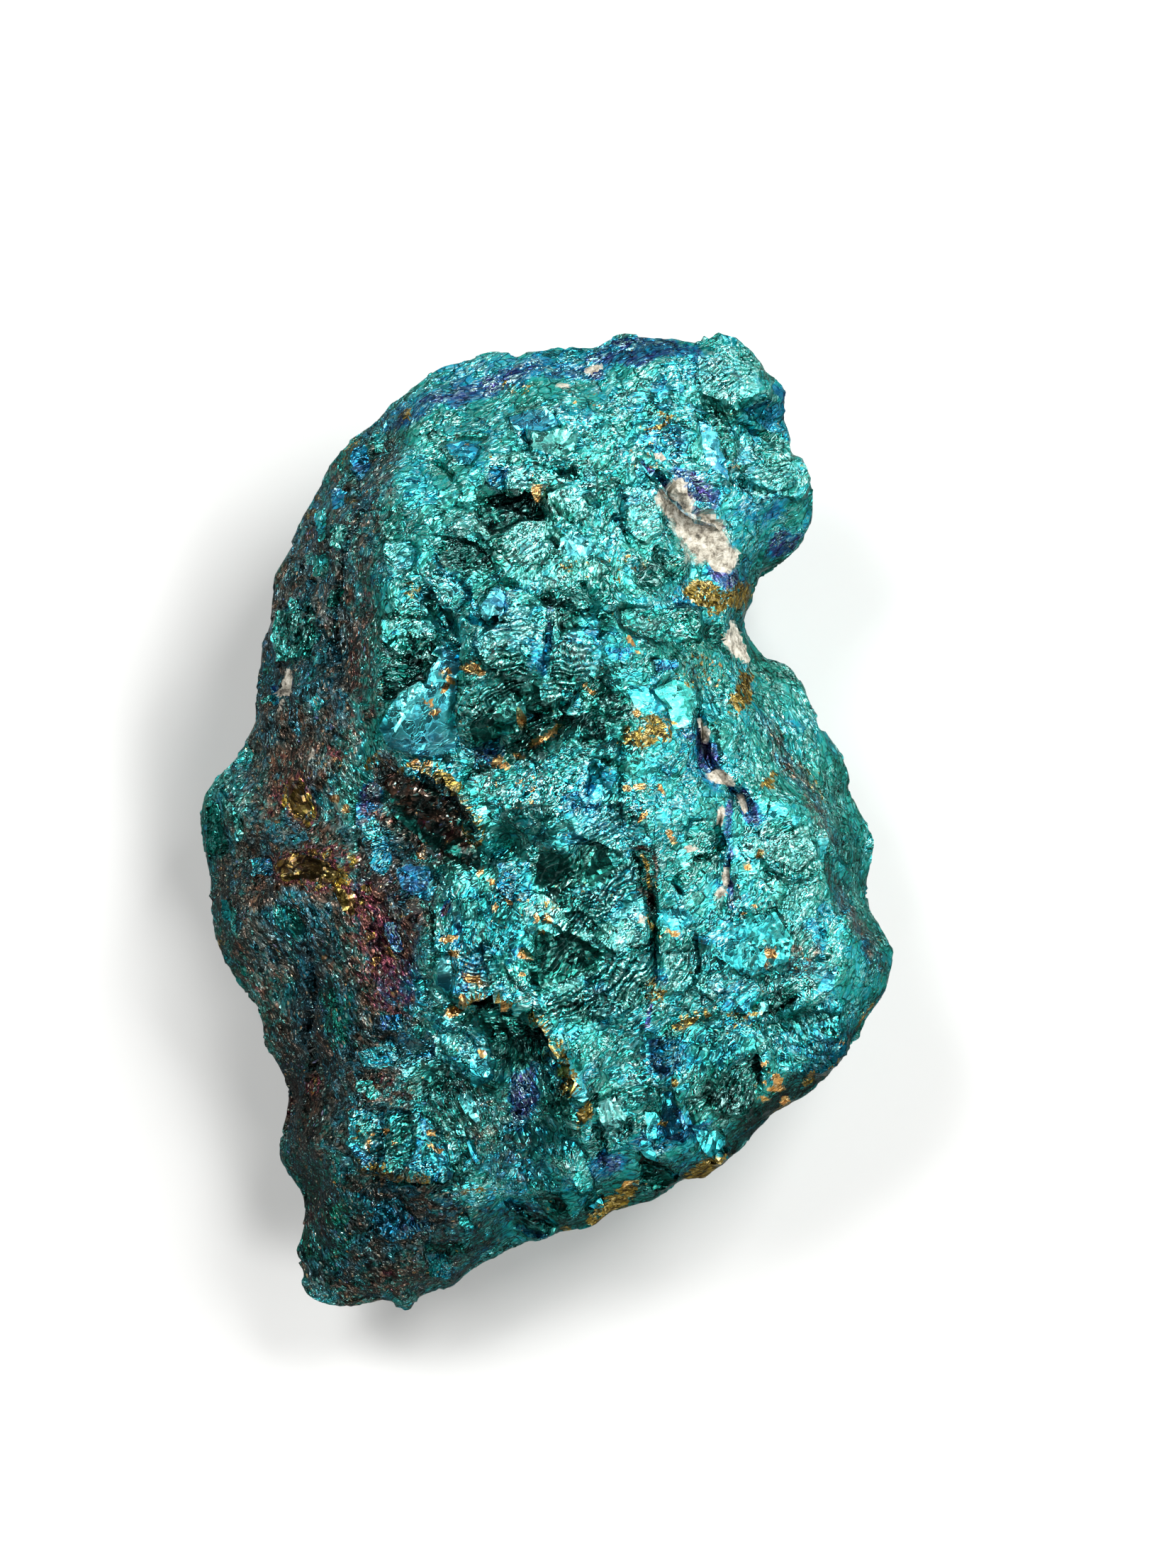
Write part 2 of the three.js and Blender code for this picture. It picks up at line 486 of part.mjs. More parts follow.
// Fills a loop with scattered corners on a loose triangular grid, clear of those already there.
function scatterInside(loop, points, spacing, channel) {
  const rowGap = spacing * Math.sqrt(0.75);
  const rows = Math.ceil(LENGTH / rowGap / 2) + 2;
  const columns = Math.ceil(WIDTH / spacing / 2) + 3;
  for (let j = -rows; j <= rows; j++) {
    for (let i = -columns; i <= columns; i++) {
      const shiftX = (chance(i, j, 0, channel) - 0.5) * 0.5 + (j % 2 ? 0.5 : 0);
      const shiftY = (chance(i, j, 1, channel) - 0.5) * 0.5;
      const x = (i + shiftX) * spacing;
      const y = (j + shiftY) * rowGap;
      if (insideLoop(loop, x, y) && farFrom(points, x, y, spacing * CLEAR)) points.push([x, y]);
    }
  }
}

// The corners of the upper face. The rim's come first. A ledge has a row along its edge and a row
// at its foot, and a crack has a row along its bed and one along each lip.
function upperPoints(rim) {
  const points = [...rim];
  const add = (at, offset, lean = 0) => {
    const x = at.x + at.leftX * offset;
    const y = at.y + at.leftY * offset;
    if (!insideLoop(rim, x, y) || !farFrom(points, x, y, LEDGE_WALL * CLEAR)) return;
    points.push([x, y, -at.leftX * lean, -at.leftY * lean]);
  };
  for (const { line, lean } of LEDGES) {
    for (const at of placesAlong(line, FEATURE_SPACING)) {
      add(at, LEDGE_EDGE, lean * endFade(at.share));
      add(at, LEDGE_EDGE - LEDGE_WALL);
    }
  }
  for (const { line, wide } of CRACKS) {
    for (const at of placesAlong(line, FEATURE_SPACING)) {
      add(at, 0);
      add(at, wide / 2);
      add(at, -wide / 2);
    }
  }
  scatterInside(rim, points, UPPER_SPACING, CHANNEL.upper);
  return points;
}

// --- the solid ---

// One closed skin: the upper face, rows of corners down the sides, and the underside.
function oreSkin() {
  const rim = rimLoop();
  const inset = ([x, y], share) => [
    MIDDLE.x + (x - MIDDLE.x) * share,
    MIDDLE.y + (y - MIDDLE.y) * share,
  ];
  const corners = [];
  const triangles = [];

  const upper = upperPoints(rim);
  for (const [x, y, leanX = 0, leanY = 0] of upper) {
    const corner = new THREE.Vector3(x + leanX, y + leanY, upperHeight(x, y));
    corners.push(Object.assign(corner, { below: 0 }));
  }
  for (const [a, b, c] of delaunay(upper)) {
    const x = (upper[a][0] + upper[b][0] + upper[c][0]) / 3;
    const y = (upper[a][1] + upper[b][1] + upper[c][1]) / 3;
    if (insideLoop(rim, x, y)) triangles.push([a, b, c]);
  }

  // Each row down the sides has as many corners as the rim, and the rim is the first row.
  let row = rim.map((_, i) => i);
  const foot = rim.map((at) => inset(at, SIDE_TUCK));
  for (let r = 1; r <= SIDE_ROWS; r++) {
    const turn = (r / SIDE_ROWS) * (Math.PI / 2);
    const start = corners.length;
    rim.forEach((at, i) => {
      const top = corners[i].z;
      const bottom = undersideHeight(...foot[i]);
      const [x, y] = inset(at, SIDE_TUCK + (1 - SIDE_TUCK) * Math.cos(turn) ** SIDE_BULGE);
      const z = top + (bottom - top) * Math.sin(turn) ** SIDE_DROP;
      const corner = new THREE.Vector3(x, y, z);
      corners.push(Object.assign(corner, { below: ease(r / 2) }));
    });
    const next = rim.map((_, i) => start + i);
    rim.forEach((_, i) => {
      const j = (i + 1) % rim.length;
      triangles.push([row[i], row[j], next[i]], [row[j], next[j], next[i]]);
    });
    row = next;
  }

  // The underside is joined to the last row.
  const under = [...foot];
  scatterInside(foot, under, UNDER_SPACING, CHANNEL.under);
  const first = corners.length - rim.length;
  for (const [x, y] of under.slice(rim.length)) {
    const corner = new THREE.Vector3(x, y, undersideHeight(x, y));
    corners.push(Object.assign(corner, { below: 1 }));
  }
  for (const [a, b, c] of delaunay(under)) {
    const x = (under[a][0] + under[b][0] + under[c][0]) / 3;
    const y = (under[a][1] + under[b][1] + under[c][1]) / 3;
    if (insideLoop(foot, x, y)) triangles.push([first + c, first + b, first + a]);
  }
  return { corners, triangles };
}

function skinGeometry({ corners, triangles }) {
  const geometry = new THREE.BufferGeometry().setFromPoints(corners);
  geometry.setIndex(triangles.flat());
  return geometry;
}

function oreGeometry() {
  const skin = oreSkin();
  const smooth = skinGeometry(skin);
  smooth.computeVertexNormals();
  const outward = smooth.getAttribute("normal");
  const out = new THREE.Vector3();
  skin.corners.forEach((corner, i) => {
    out.fromBufferAttribute(outward, i);
    // The flat spot stays flat, and the big broken blocks belong to the sides and the underside.
    const rough = corner.below === 1 ? ease(corner.z / REST_FADE) : 1;
    const blockShare = THREE.MathUtils.lerp(BLOCKS_ON_TOP, 1, corner.below);
    const blocks = BLOCK_STEP * blockShare * scoops(corner, BLOCK, CHANNEL.blocks);
    const chipped = CHIP_STEP * scoops(corner, CHIP, CHANNEL.chips);
    const gritty = GRIT_STEP * chips(corner, GRIT, CHANNEL.grit);
    corner.addScaledVector(out, rough * (blocks + chipped + gritty));
    corner.z = Math.max(corner.z, 0);
  });
  const geometry = skinGeometry(skin);
  // The box is brought to its length and width, and its middle over the origin.
  geometry.computeBoundingBox();
  const size = geometry.boundingBox.getSize(new THREE.Vector3());
  const middle = geometry.boundingBox.getCenter(new THREE.Vector3());
  geometry.translate(-middle.x, -middle.y, 0);
  geometry.scale(WIDTH / size.x, LENGTH / size.y, 1);
  return geometry;
}

const tarnishedOre = new THREE.MeshStandardMaterial({
  color: 0x1f8f92,
  roughness: 0.38,
  metalness: 0.9,
  flatShading: true,
});

const part = new THREE.Group();
const ore = new THREE.Mesh(oreGeometry(), tarnishedOre);
ore.name = "peacock_ore";
part.add(ore);

export default part;
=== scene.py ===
"""A rough lump of peacock ore: copper ore with an iridescent tarnish over broken, foil-like facets."""

import math
from functools import partial

import bpy
import numpy as np
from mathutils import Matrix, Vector


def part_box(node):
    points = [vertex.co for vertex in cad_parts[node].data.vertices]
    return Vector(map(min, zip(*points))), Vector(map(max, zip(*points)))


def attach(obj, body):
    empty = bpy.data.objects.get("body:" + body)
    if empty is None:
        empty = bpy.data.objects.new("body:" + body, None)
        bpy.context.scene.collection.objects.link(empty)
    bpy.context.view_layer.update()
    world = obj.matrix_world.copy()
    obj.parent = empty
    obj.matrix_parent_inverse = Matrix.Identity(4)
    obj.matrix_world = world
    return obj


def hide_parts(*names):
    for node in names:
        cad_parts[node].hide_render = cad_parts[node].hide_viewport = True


bl_info = {
    "name": "Peacock Ore Stone",
    "version": (1, 0, 0),
    "blender": (4, 5, 0),
    "location": "3D View > Sidebar > Peacock Ore",
    "description": "A rough lump of peacock ore with an iridescent tarnish",
    "category": "Add Mesh",
}

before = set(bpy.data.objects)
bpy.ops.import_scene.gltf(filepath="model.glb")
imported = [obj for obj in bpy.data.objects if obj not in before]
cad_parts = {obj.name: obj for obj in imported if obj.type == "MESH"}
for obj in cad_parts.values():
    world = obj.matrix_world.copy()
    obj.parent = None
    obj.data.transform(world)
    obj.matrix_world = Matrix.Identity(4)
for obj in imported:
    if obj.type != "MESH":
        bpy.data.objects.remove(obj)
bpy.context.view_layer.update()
STONE_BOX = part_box("peacock_ore")

MM = 0.001


def linear(colour):
    """The scene's linear colour, with an alpha of 1, for an sRGB hex value."""
    channels = (int(colour[i : i + 2], 16) / 255 for i in (1, 3, 5))
    return (*(c / 12.92 if c <= 0.04045 else ((c + 0.055) / 1.055) ** 2.4 for c in channels), 1.0)


# --- the broken surface: where things are, in mm, seen from above ---

# The film of tarnish runs from none (0, bare brassy ore) through copper, violet, blue and cyan to
# teal (0.75) and, where it is thickest, deep green (1).
ROSE, VIOLET, BLUE, CYAN, TEAL, GREEN = 0.26, 0.36, 0.48, 0.62, 0.75, 0.95

# Patches where the film differs: film, x, y, half-length, half-width, turn of the long axis in
# degrees, and strength.
FILM_PATCHES = [
    (ROSE, -9.8, 1.4, 1.2, 0.7, 80, 0.8), (ROSE, -5.3, 1.5, 0.7, 0.35, 30, 0.9),
    (ROSE, -8.8, -6.4, 3.8, 1.7, 105, 0.8), (ROSE, -1.0, -15.0, 2.2, 0.8, 80, 0.75),
    (ROSE, -5.6, -4.8, 0.6, 0.3, 60, 0.9), (ROSE, -11.2, -4.0, 0.8, 0.5, 80, 0.8),
    (ROSE, -13.6, 1.6, 2.2, 0.6, 70, 0.5), (ROSE, 3.0, -19.5, 1.6, 0.7, 20, 0.45),
    (VIOLET, 8.4, 18.8, 1.5, 0.6, -35, 0.75), (VIOLET, 10.0, 14.2, 1.1, 0.6, -20, 0.65),
    (VIOLET, 8.8, 5.0, 0.6, 0.35, 80, 0.8), (VIOLET, 11.6, 0.9, 1.3, 0.5, -65, 0.85),
    (VIOLET, -7.0, 23.4, 1.4, 0.5, 40, 0.5), (VIOLET, 2.0, 25.4, 1.7, 0.4, -10, 0.6),
    (VIOLET, -3.0, 24.8, 3.4, 0.6, 20, 0.6), (ROSE, 4.4, 26.2, 2.0, 0.35, 0, 0.6),
    (VIOLET, 6.4, 26.7, 2.6, 0.6, -5, 0.7), (VIOLET, -11.6, 8.0, 2.6, 0.6, 85, 0.3),
    (VIOLET, -12.6, -10.0, 3.4, 1.0, -80, 0.3), (VIOLET, 13.6, 15.9, 0.9, 0.5, 40, 0.8),
    (BLUE, 1.6, 26.2, 4.6, 1.0, 8, 0.5), (BLUE, -6.4, 24.2, 3.4, 0.8, 35, 0.4),
    (BLUE, 13.8, 24.2, 1.0, 0.7, 90, 0.8), (BLUE, 12.3, 18.0, 1.6, 0.8, 20, 0.5),
    (BLUE, 6.9, 21.6, 1.6, 0.8, -30, 0.4), (BLUE, 15.6, -11.4, 2.6, 1.5, 50, 0.2),
    (BLUE, 7.0, -13.0, 1.4, 1.0, 0, 0.45), (BLUE, 7.2, -17.2, 2.4, 0.9, 20, 0.5),
    (BLUE, -7.6, -12.0, 1.7, 1.0, -30, 0.5), (BLUE, -7.8, -22.0, 2.6, 1.6, 0, 0.35),
    (BLUE, 9.2, 3.6, 1.8, 0.5, -75, 0.5), (BLUE, 8.3, 12.2, 1.2, 1.0, 0, 0.3),
    (BLUE, 10.1, -1.8, 2.6, 0.4, 85, 0.4), (BLUE, -15.4, 9.6, 2.6, 0.8, 75, 0.4),
    (BLUE, -13.8, 15.8, 2.6, 0.7, 70, 0.4), (BLUE, 2.8, 1.9, 2.0, 0.8, 30, 0.35),
    (BLUE, -8.9, -2.4, 0.9, 1.1, 0, 0.6), (CYAN, -6.1, 6.8, 3.0, 1.1, 70, 0.9),
    (CYAN, -2.8, -8.2, 2.4, 1.6, 0, 0.5), (CYAN, 13.0, -6.0, 3.4, 2.4, 0, 0.4),
    (CYAN, -8.2, -18.0, 2.4, 1.6, 0, 0.4), (CYAN, 8.6, 25.4, 2.4, 1.0, 20, 0.5),
    (CYAN, -2.2, 12.4, 0.6, 0.8, 0, 0.8), (CYAN, -4.6, 13.4, 1.6, 0.7, -50, 0.6),
    (CYAN, -5.0, -6.4, 0.5, 1.2, 0, 0.7), (CYAN, 3.6, -0.6, 2.2, 1.0, 0, 0.5),
    (GREEN, 1.4, -7.4, 1.7, 1.4, 0, 0.9), (GREEN, 2.2, -2.8, 2.0, 1.2, 30, 0.7),
    (GREEN, 10.4, -15.2, 1.8, 1.3, 60, 0.9), (GREEN, -1.2, -12.6, 1.6, 1.1, 60, 0.9),
    (GREEN, -3.4, 15.4, 1.6, 1.2, 0, 0.6), (GREEN, -1.6, 18.4, 2.0, 1.0, 0, 0.7),
    (GREEN, -1.0, 4.6, 3.0, 0.8, 25, 0.8), (GREEN, -8.0, 10.4, 1.6, 1.8, 0, 0.7),
    (GREEN, 13.0, 9.0, 1.5, 1.0, 0, 0.5), (GREEN, -13.0, -22.5, 2.0, 3.2, 0, 0.7),
    (GREEN, -1.4, 7.6, 2.4, 0.7, -35, 0.5), (GREEN, 4.4, 6.8, 1.2, 1.2, 0, 0.5),
]

# The same underneath, seen through the stone from above, and where ore and quartz show there, each
# as in the lists further down.
UNDER_FILMS = [
    (BLUE, 6.0, 15.0, 5.4, 2.6, 30, 0.7), (VIOLET, 9.5, 16.5, 2.6, 0.9, 40, 0.8),
    (CYAN, 8.0, -4.0, 5.0, 3.6, 60, 0.6), (ROSE, 2.0, -13.0, 3.4, 1.2, 50, 0.7),
    (GREEN, -1.0, 6.0, 4.6, 2.4, 100, 0.9), (BLUE, -2.0, -7.0, 4.4, 1.8, 70, 0.7),
    (GREEN, 10.5, 4.0, 3.2, 1.6, 20, 0.9), (VIOLET, 12.0, -8.0, 2.6, 0.8, 60, 0.7),
    (CYAN, 0.0, 20.0, 3.6, 2.0, 10, 0.7), (BLUE, -5.0, 14.0, 3.0, 1.4, 80, 0.6),
]
UNDER_BRASS = [
    (4.0, 2.0, 2.4, 0.9, 60, 0.9), (7.0, -10.0, 1.8, 0.7, 40, 0.9), (-2.0, -16.0, 1.6, 0.8, 80, 0.8),
    (3.0, 11.0, 1.4, 0.6, 20, 0.8), (9.0, 20.0, 1.2, 0.5, 0, 0.8), (-3.5, 0.0, 1.6, 0.5, 110, 0.8),
]
UNDER_QUARTZ = [(5.0, 6.4, 1.5, 0.8, 40), (6.2, 7.6, 0.9, 0.6, 0), (1.0, -4.0, 0.8, 0.4, 70)]

# Lines where the film differs: film, width and the places they run through.
FILM_LINES = [
    (VIOLET, 0.26, [(0.35, 12.3), (0.3, 10.8), (0.15, 9.4)]),
    (VIOLET, 0.26, [(6.0, -10.2), (5.9, -10.6), (5.7, -11.2)]),
    (BLUE, 0.30, [(8.8, 5.6), (8.9, 5.0), (9.2, 3.8), (10.2, 2.4), (11.2, 1.4), (12.0, 0.1)]),
    (VIOLET, 0.30, [(10.4, 1.2), (10.1, -0.6), (10.5, -2.6), (10.3, -4.6)]),
    (VIOLET, 0.24, [(5.6, 20.3), (6.7, 19.2), (8.0, 18.0), (9.3, 17.3), (10.3, 16.7)]),
]

# Bare, brassy ore: x, y, half-length, half-width, turn and strength.
BRASS = [
    (9.1, 13.0, 1.3, 0.8, -30, 1.0), (11.1, 12.9, 1.1, 0.8, 10, 0.9), (11.2, 7.5, 1.3, 0.6, 70, 1.0),
    (5.7, 5.2, 1.6, 0.8, 15, 0.9), (12.8, 2.5, 0.7, 0.4, 30, 0.9), (-5.2, 2.6, 1.1, 0.4, -40, 1.0),
    (-13.8, 1.4, 1.6, 0.6, 75, 0.3), (-13.0, -2.5, 2.4, 1.1, 25, 0.25), (-11.6, -3.6, 1.1, 0.35, -60, 0.95),
    (-18.8, -7.0, 0.9, 0.4, 60, 0.8), (18.4, -11.0, 1.1, 0.35, 55, 1.0), (13.0, -17.0, 1.4, 0.4, 50, 0.9),
    (9.0, -19.7, 1.2, 0.6, 30, 1.0), (4.0, -21.4, 1.7, 0.6, 35, 1.0), (2.4, -16.2, 1.0, 0.4, 60, 1.0),
    (1.5, -14.4, 0.8, 0.35, 70, 0.9), (-3.0, -9.7, 1.4, 0.25, 0, 0.8), (-7.7, -4.6, 0.8, 0.3, 30, 0.6),
    (4.3, 14.4, 1.4, 0.7, 0, 0.35), (1.6, 14.0, 1.2, 0.6, 30, 0.3), (6.6, 22.4, 1.6, 0.7, 20, 0.45),
    (8.6, 8.8, 1.4, 0.8, 60, 0.35), (6.2, -9.4, 0.5, 1.1, 0, 0.55), (8.6, -10.9, 1.2, 0.5, 20, 0.55),
    (11.4, -10.9, 1.5, 0.5, 25, 0.5), (5.9, -3.4, 0.5, 0.9, 0, 0.5), (-16.4, 10.4, 1.6, 0.4, 70, 0.3),
    (-4.3, -20.7, 1.6, 0.3, 0, 0.4), (-10.6, -17.4, 0.7, 0.3, 80, 0.4), (14.8, 2.6, 2.4, 0.4, -55, 0.4),
    (-7.4, 13.2, 0.8, 0.4, 0, 0.5), (-1.6, 24.6, 1.4, 0.4, 0, 0.35), (16.4, -14.0, 1.2, 0.5, 50, 0.4),
    (0.6, -4.4, 0.5, 0.3, 0, 0.5), (2.6, 8.4, 0.8, 0.4, 20, 0.3), (-7.8, 23.3, 0.4, 0.3, 60, 0.9),
    (-13.0, 18.7, 0.3, 0.2, 70, 0.9), (-13.5, 17.8, 0.35, 0.25, 60, 1.0), (-11.0, 21.2, 0.8, 0.25, 50, 0.7),
    (-10.7, 18.3, 0.45, 0.3, 70, 0.9), (-14.2, 14.8, 0.7, 0.2, 60, 0.6), (-13.6, 9.1, 0.35, 0.22, 0, 0.9),
    (-13.9, 6.0, 1.2, 0.6, 0, 0.5), (-12.5, 5.3, 0.6, 0.25, -20, 0.8), (-13.5, 4.6, 0.35, 0.2, 50, 1.0),
    (-12.6, 3.0, 1.8, 0.9, 10, 0.5), (-9.6, 3.6, 0.9, 0.35, 60, 0.7), (-10.0, -4.5, 1.1, 0.3, 35, 0.8),
    (-14.8, -3.3, 0.8, 0.35, 15, 0.9), (2.2, -16.4, 0.9, 0.35, 65, 1.0), (1.7, -14.6, 0.4, 0.25, -70, 1.0),
    (0.7, -12.6, 0.8, 0.3, 70, 0.7), (-9.4, -19.4, 1.3, 0.3, -25, 0.8), (-7.4, -20.0, 1.2, 0.25, 0, 0.7),
    (9.0, -19.8, 0.9, 0.5, 10, 1.0), (3.6, -21.8, 0.6, 0.5, 60, 1.0), (4.6, -20.8, 0.8, 0.45, 30, 1.0),
    (2.8, -22.6, 0.35, 0.3, 0, 1.0), (1.3, -23.4, 0.3, 0.25, 0, 1.0), (6.9, -16.9, 0.22, 0.2, 0, 1.0),
    (13.9, -16.0, 0.3, 0.25, 0, 1.0), (15.0, -14.5, 0.45, 0.3, 60, 0.9), (12.8, -17.3, 0.5, 0.3, 40, 0.9),
    (18.4, -11.1, 0.6, 0.4, 60, 1.0), (7.9, -11.3, 1.0, 0.4, 20, 0.7), (7.4, -14.4, 0.3, 0.18, -60, 0.9),
]

# Bare ore along lines: width and the places they run through.
BRASS_LINES = [
    (0.4, [(-9.2, 3.5), (-8.2, 3.3), (-7.4, 3.5), (-6.4, 3.0)]),
    (0.3, [(-6.4, 3.0), (-5.0, 2.0), (-4.1, 0.8), (-3.5, -0.8)]),
    (0.3, [(-0.4, -10.6), (0.6, -12.0), (1.2, -13.6), (1.6, -15.2)]),
    (0.25, [(-12.0, -1.6), (-11.6, -3.2), (-10.8, -4.6)]),
    (0.3, [(8.2, -20.2), (10.0, -19.4), (11.8, -18.4), (13.6, -16.6)]),
    (0.24, [(5.5, -1.6), (5.9, -3.2)]),
    (0.24, [(5.8, -5.0), (6.1, -6.0)]),
]

# Where copper-coloured specks are thick: x, y, radius.
SPECK_FIELDS = [
    (-5.3, 7.8, 1.2), (-6.2, 6.2, 1.4), (-4.0, 9.0, 0.8), (-2.7, 3.2, 1.6), (-1.4, 1.4, 1.5),
    (-1.2, 5.7, 0.7), (0.4, 5.2, 0.8), (5.1, 1.8, 1.1), (12.5, -7.2, 1.0), (-3.9, -8.6, 0.9),
    (12.8, -14.8, 1.5), (16.7, -12.2, 1.0), (4.9, 10.8, 0.6), (-0.4, 19.0, 0.9), (-9.0, -18.0, 1.6),
    (-3.6, -12.8, 0.9), (1.0, -5.4, 0.7), (14.6, -7.6, 1.2), (5.8, 20.6, 1.4), (-4.6, 21.8, 1.2),
    (-13.4, -3.6, 1.6), (2.2, 23.6, 1.4), (6.0, -4.4, 0.8), (-7.2, -14.2, 1.2), (9.4, 8.6, 1.2),
    (-14.4, -13.0, 1.6), (10.9, 20.2, 0.9), (-1.6, -4.6, 1.8), (-4.4, -8.2, 1.2), (-0.6, 2.6, 1.2),
    (-14.8, -1.0, 2.4), (6.4, -6.0, 0.8),
]

# Pale quartz: x, y, half-length, half-width, turn.
QUARTZ = [
    (7.5, 18.0, 1.3, 0.95, -55), (8.9, 16.3, 1.6, 1.35, -40), (9.9, 15.2, 1.1, 0.75, -20),
    (10.8, 10.4, 1.4, 0.4, -75),
]

# Small chips of quartz on the upper face and the left flank: the same values.
QUARTZ_FLECKS = [
    (-14.55, 8.2, 0.5, 0.17, 80), (-14.75, 7.45, 0.32, 0.26, 30), (-14.8, 6.6, 0.46, 0.15, 65),
    (8.9, 5.2, 0.7, 0.25, -70), (9.9, 2.7, 0.75, 0.3, -30), (11.2, 1.1, 0.5, 0.2, -60),
    (9.8, 0.4, 0.55, 0.25, 80), (10.3, -2.8, 0.6, 0.2, 70), (9.8, -3.9, 0.45, 0.2, 60),
    (8.2, -1.5, 0.35, 0.2, 0), (5.3, -5.3, 0.3, 0.16, 40), (-13.0, 4.0, 0.5, 0.16, 70),
    (3.0, 25.6, 0.5, 0.18, 20), (1.2, 24.6, 0.35, 0.2, 0), (6.6, 20.9, 0.3, 0.2, 0),
]

# Where the surface is dull with fine brown dust: x, y, half-length, half-width, turn, strength.
DULL = [
    (-13.6, 8.0, 12.0, 3.8, 82, 0.9), (-14.6, -4.0, 6.5, 5.0, 90, 0.9), (-12.0, -13.0, 8.0, 4.6, 80, 0.85),
    (-9.0, -4.4, 6.2, 2.8, 85, 0.8), (-10.0, -23.5, 6.4, 5.2, 0, 0.75), (-6.6, 0.4, 2.8, 2.3, -40, 0.8),
    (14.7, -7.4, 1.2, 1.5, 0, 0.5), (-10.6, 17.0, 8.0, 1.8, 75, 0.7), (17.6, -5.6, 3.6, 0.5, -60, 0.6),
    (14.4, 2.4, 4.6, 0.5, -60, 0.6), (-3.2, -17.4, 4.0, 2.0, -60, 0.4), (5.8, -2.9, 1.9, 0.6, 95, 0.9),
]

# Dust that lies on the plates too: x, y, half-length, half-width, turn and strength.
PLATE_DUST = [
    (-8.3, 2.6, 1.9, 0.9, -50, 0.9), (-6.4, 0.8, 2.4, 1.0, -42, 0.85), (-4.6, -1.0, 1.4, 0.5, -50, 0.6),
]

# What the dust looks like, from 0, greenish black, through slate (0.2), grey (0.4), brown (0.6) and
# maroon (0.8) to olive (1): value, x, y, half-length, half-width, turn and strength.
DUSTS = [
    (0.30, -10.6, 17.0, 3.6, 1.0, 75, 0.8), (0.60, -11.8, 19.8, 1.0, 0.5, 45, 0.9),
    (0.50, -15.6, 12.0, 3.0, 0.7, 72, 0.8), (0.05, -13.9, 10.6, 1.8, 1.3, 80, 0.9),
    (0.65, -10.0, 8.4, 5.4, 0.9, 90, 0.9), (0.25, -13.6, 7.6, 1.6, 1.6, 0, 0.8),
    (0.20, -16.0, 8.6, 1.2, 0.6, 80, 0.8), (0.62, -13.2, 3.6, 2.6, 1.3, 0, 0.7),
    (0.08, -18.8, -0.6, 2.2, 0.6, 85, 0.9), (0.66, -15.0, 1.4, 1.4, 0.9, 60, 0.9),
    (1.00, -13.7, 1.0, 1.6, 0.8, 110, 1.0), (0.95, -13.4, -2.4, 2.4, 1.3, 10, 0.9),
    (0.30, -12.0, 0.6, 1.9, 0.7, 120, 0.9), (0.80, -9.7, 1.0, 0.7, 0.6, 0, 1.0),
    (0.55, -7.2, 0.6, 1.6, 1.3, 0, 0.9), (0.74, -10.2, -5.4, 0.8, 0.5, 20, 1.0),
    (0.80, -9.2, -7.0, 3.8, 1.7, 105, 0.95), (0.25, -14.0, -6.6, 2.6, 2.0, 110, 0.8),
    (0.60, -16.0, -3.8, 1.2, 0.9, 0, 0.8), (0.60, -15.4, -10.6, 2.6, 0.9, 110, 0.8),
    (0.02, -11.6, -10.4, 1.9, 1.0, 90, 0.9), (0.05, -12.6, -22.4, 3.0, 1.6, 90, 0.9),
    (0.80, -13.5, -22.5, 0.6, 0.4, 30, 0.9), (0.78, -12.9, -14.8, 0.8, 0.5, 90, 0.9),
    (0.82, -14.4, -16.2, 0.7, 0.3, 60, 1.0), (0.68, -8.6, -14.8, 1.6, 0.9, 0, 0.9),
    (0.62, -0.8, -19.2, 2.0, 1.2, 100, 0.9), (0.42, -7.4, -5.4, 2.6, 1.2, 100, 0.6),
    (0.62, -8.8, -26.0, 1.2, 0.8, 0, 0.8), (0.10, -5.0, -24.0, 2.0, 0.8, 20, 0.8),
    (0.62, 5.9, -3.4, 3.2, 1.0, 90, 0.9), (0.52, -7.0, 1.4, 3.4, 1.4, -42, 0.9),
    (0.95, -11.5, -3.0, 1.0, 0.6, 110, 0.9), (0.85, -10.7, -2.1, 0.6, 0.25, 110, 1.0),
]

# Painted shade over whole areas, which makes them darker: share of the light it takes, x, y,
# half-length, half-width and turn.
PAINTED_SHADE = [
    (0.5, -9.5, -23.5, 6.0, 4.6, 0), (0.45, 3.0, -21.4, 9.0, 1.6, 18), (0.5, 14.6, -15.0, 6.6, 1.3, 48),
    (0.35, 9.0, -12.2, 3.4, 1.5, 0), (0.5, -6.6, -15.3, 1.9, 1.4, 0), (0.35, -18.8, -4.0, 6.0, 1.4, 95),
    (0.4, -6.3, -0.5, 2.6, 1.6, -30), (0.35, -8.2, -6.2, 3.2, 1.7, 85), (0.25, -3.4, -5.0, 2.0, 2.0, 0),
    (0.3, -12.6, -11.0, 6.0, 3.6, 80), (0.45, -14.2, -19.0, 8.0, 1.8, 85),
    (0.3, -0.6, -18.8, 2.4, 2.0, 100), (0.35, 12.0, -17.8, 9.0, 1.5, 42), (0.4, 19.0, -8.0, 3.6, 1.2, 80),
    (0.35, 6.0, 27.2, 5.0, 1.1, 8), (0.35, 13.8, 25.4, 2.6, 1.0, -50), (0.3, -9.6, 21.4, 4.0, 1.2, 45),
    (0.35, -9.6, 10.5, 7.0, 1.0, 90), (0.3, 4.6, 10.4, 2.6, 1.2, 0), (0.3, -3.6, 2.2, 2.2, 1.1, 0),
    (0.25, -2.6, -5.4, 1.6, 1.6, 0), (0.2, 5.6, 5.4, 4.0, 3.6, 0),
]

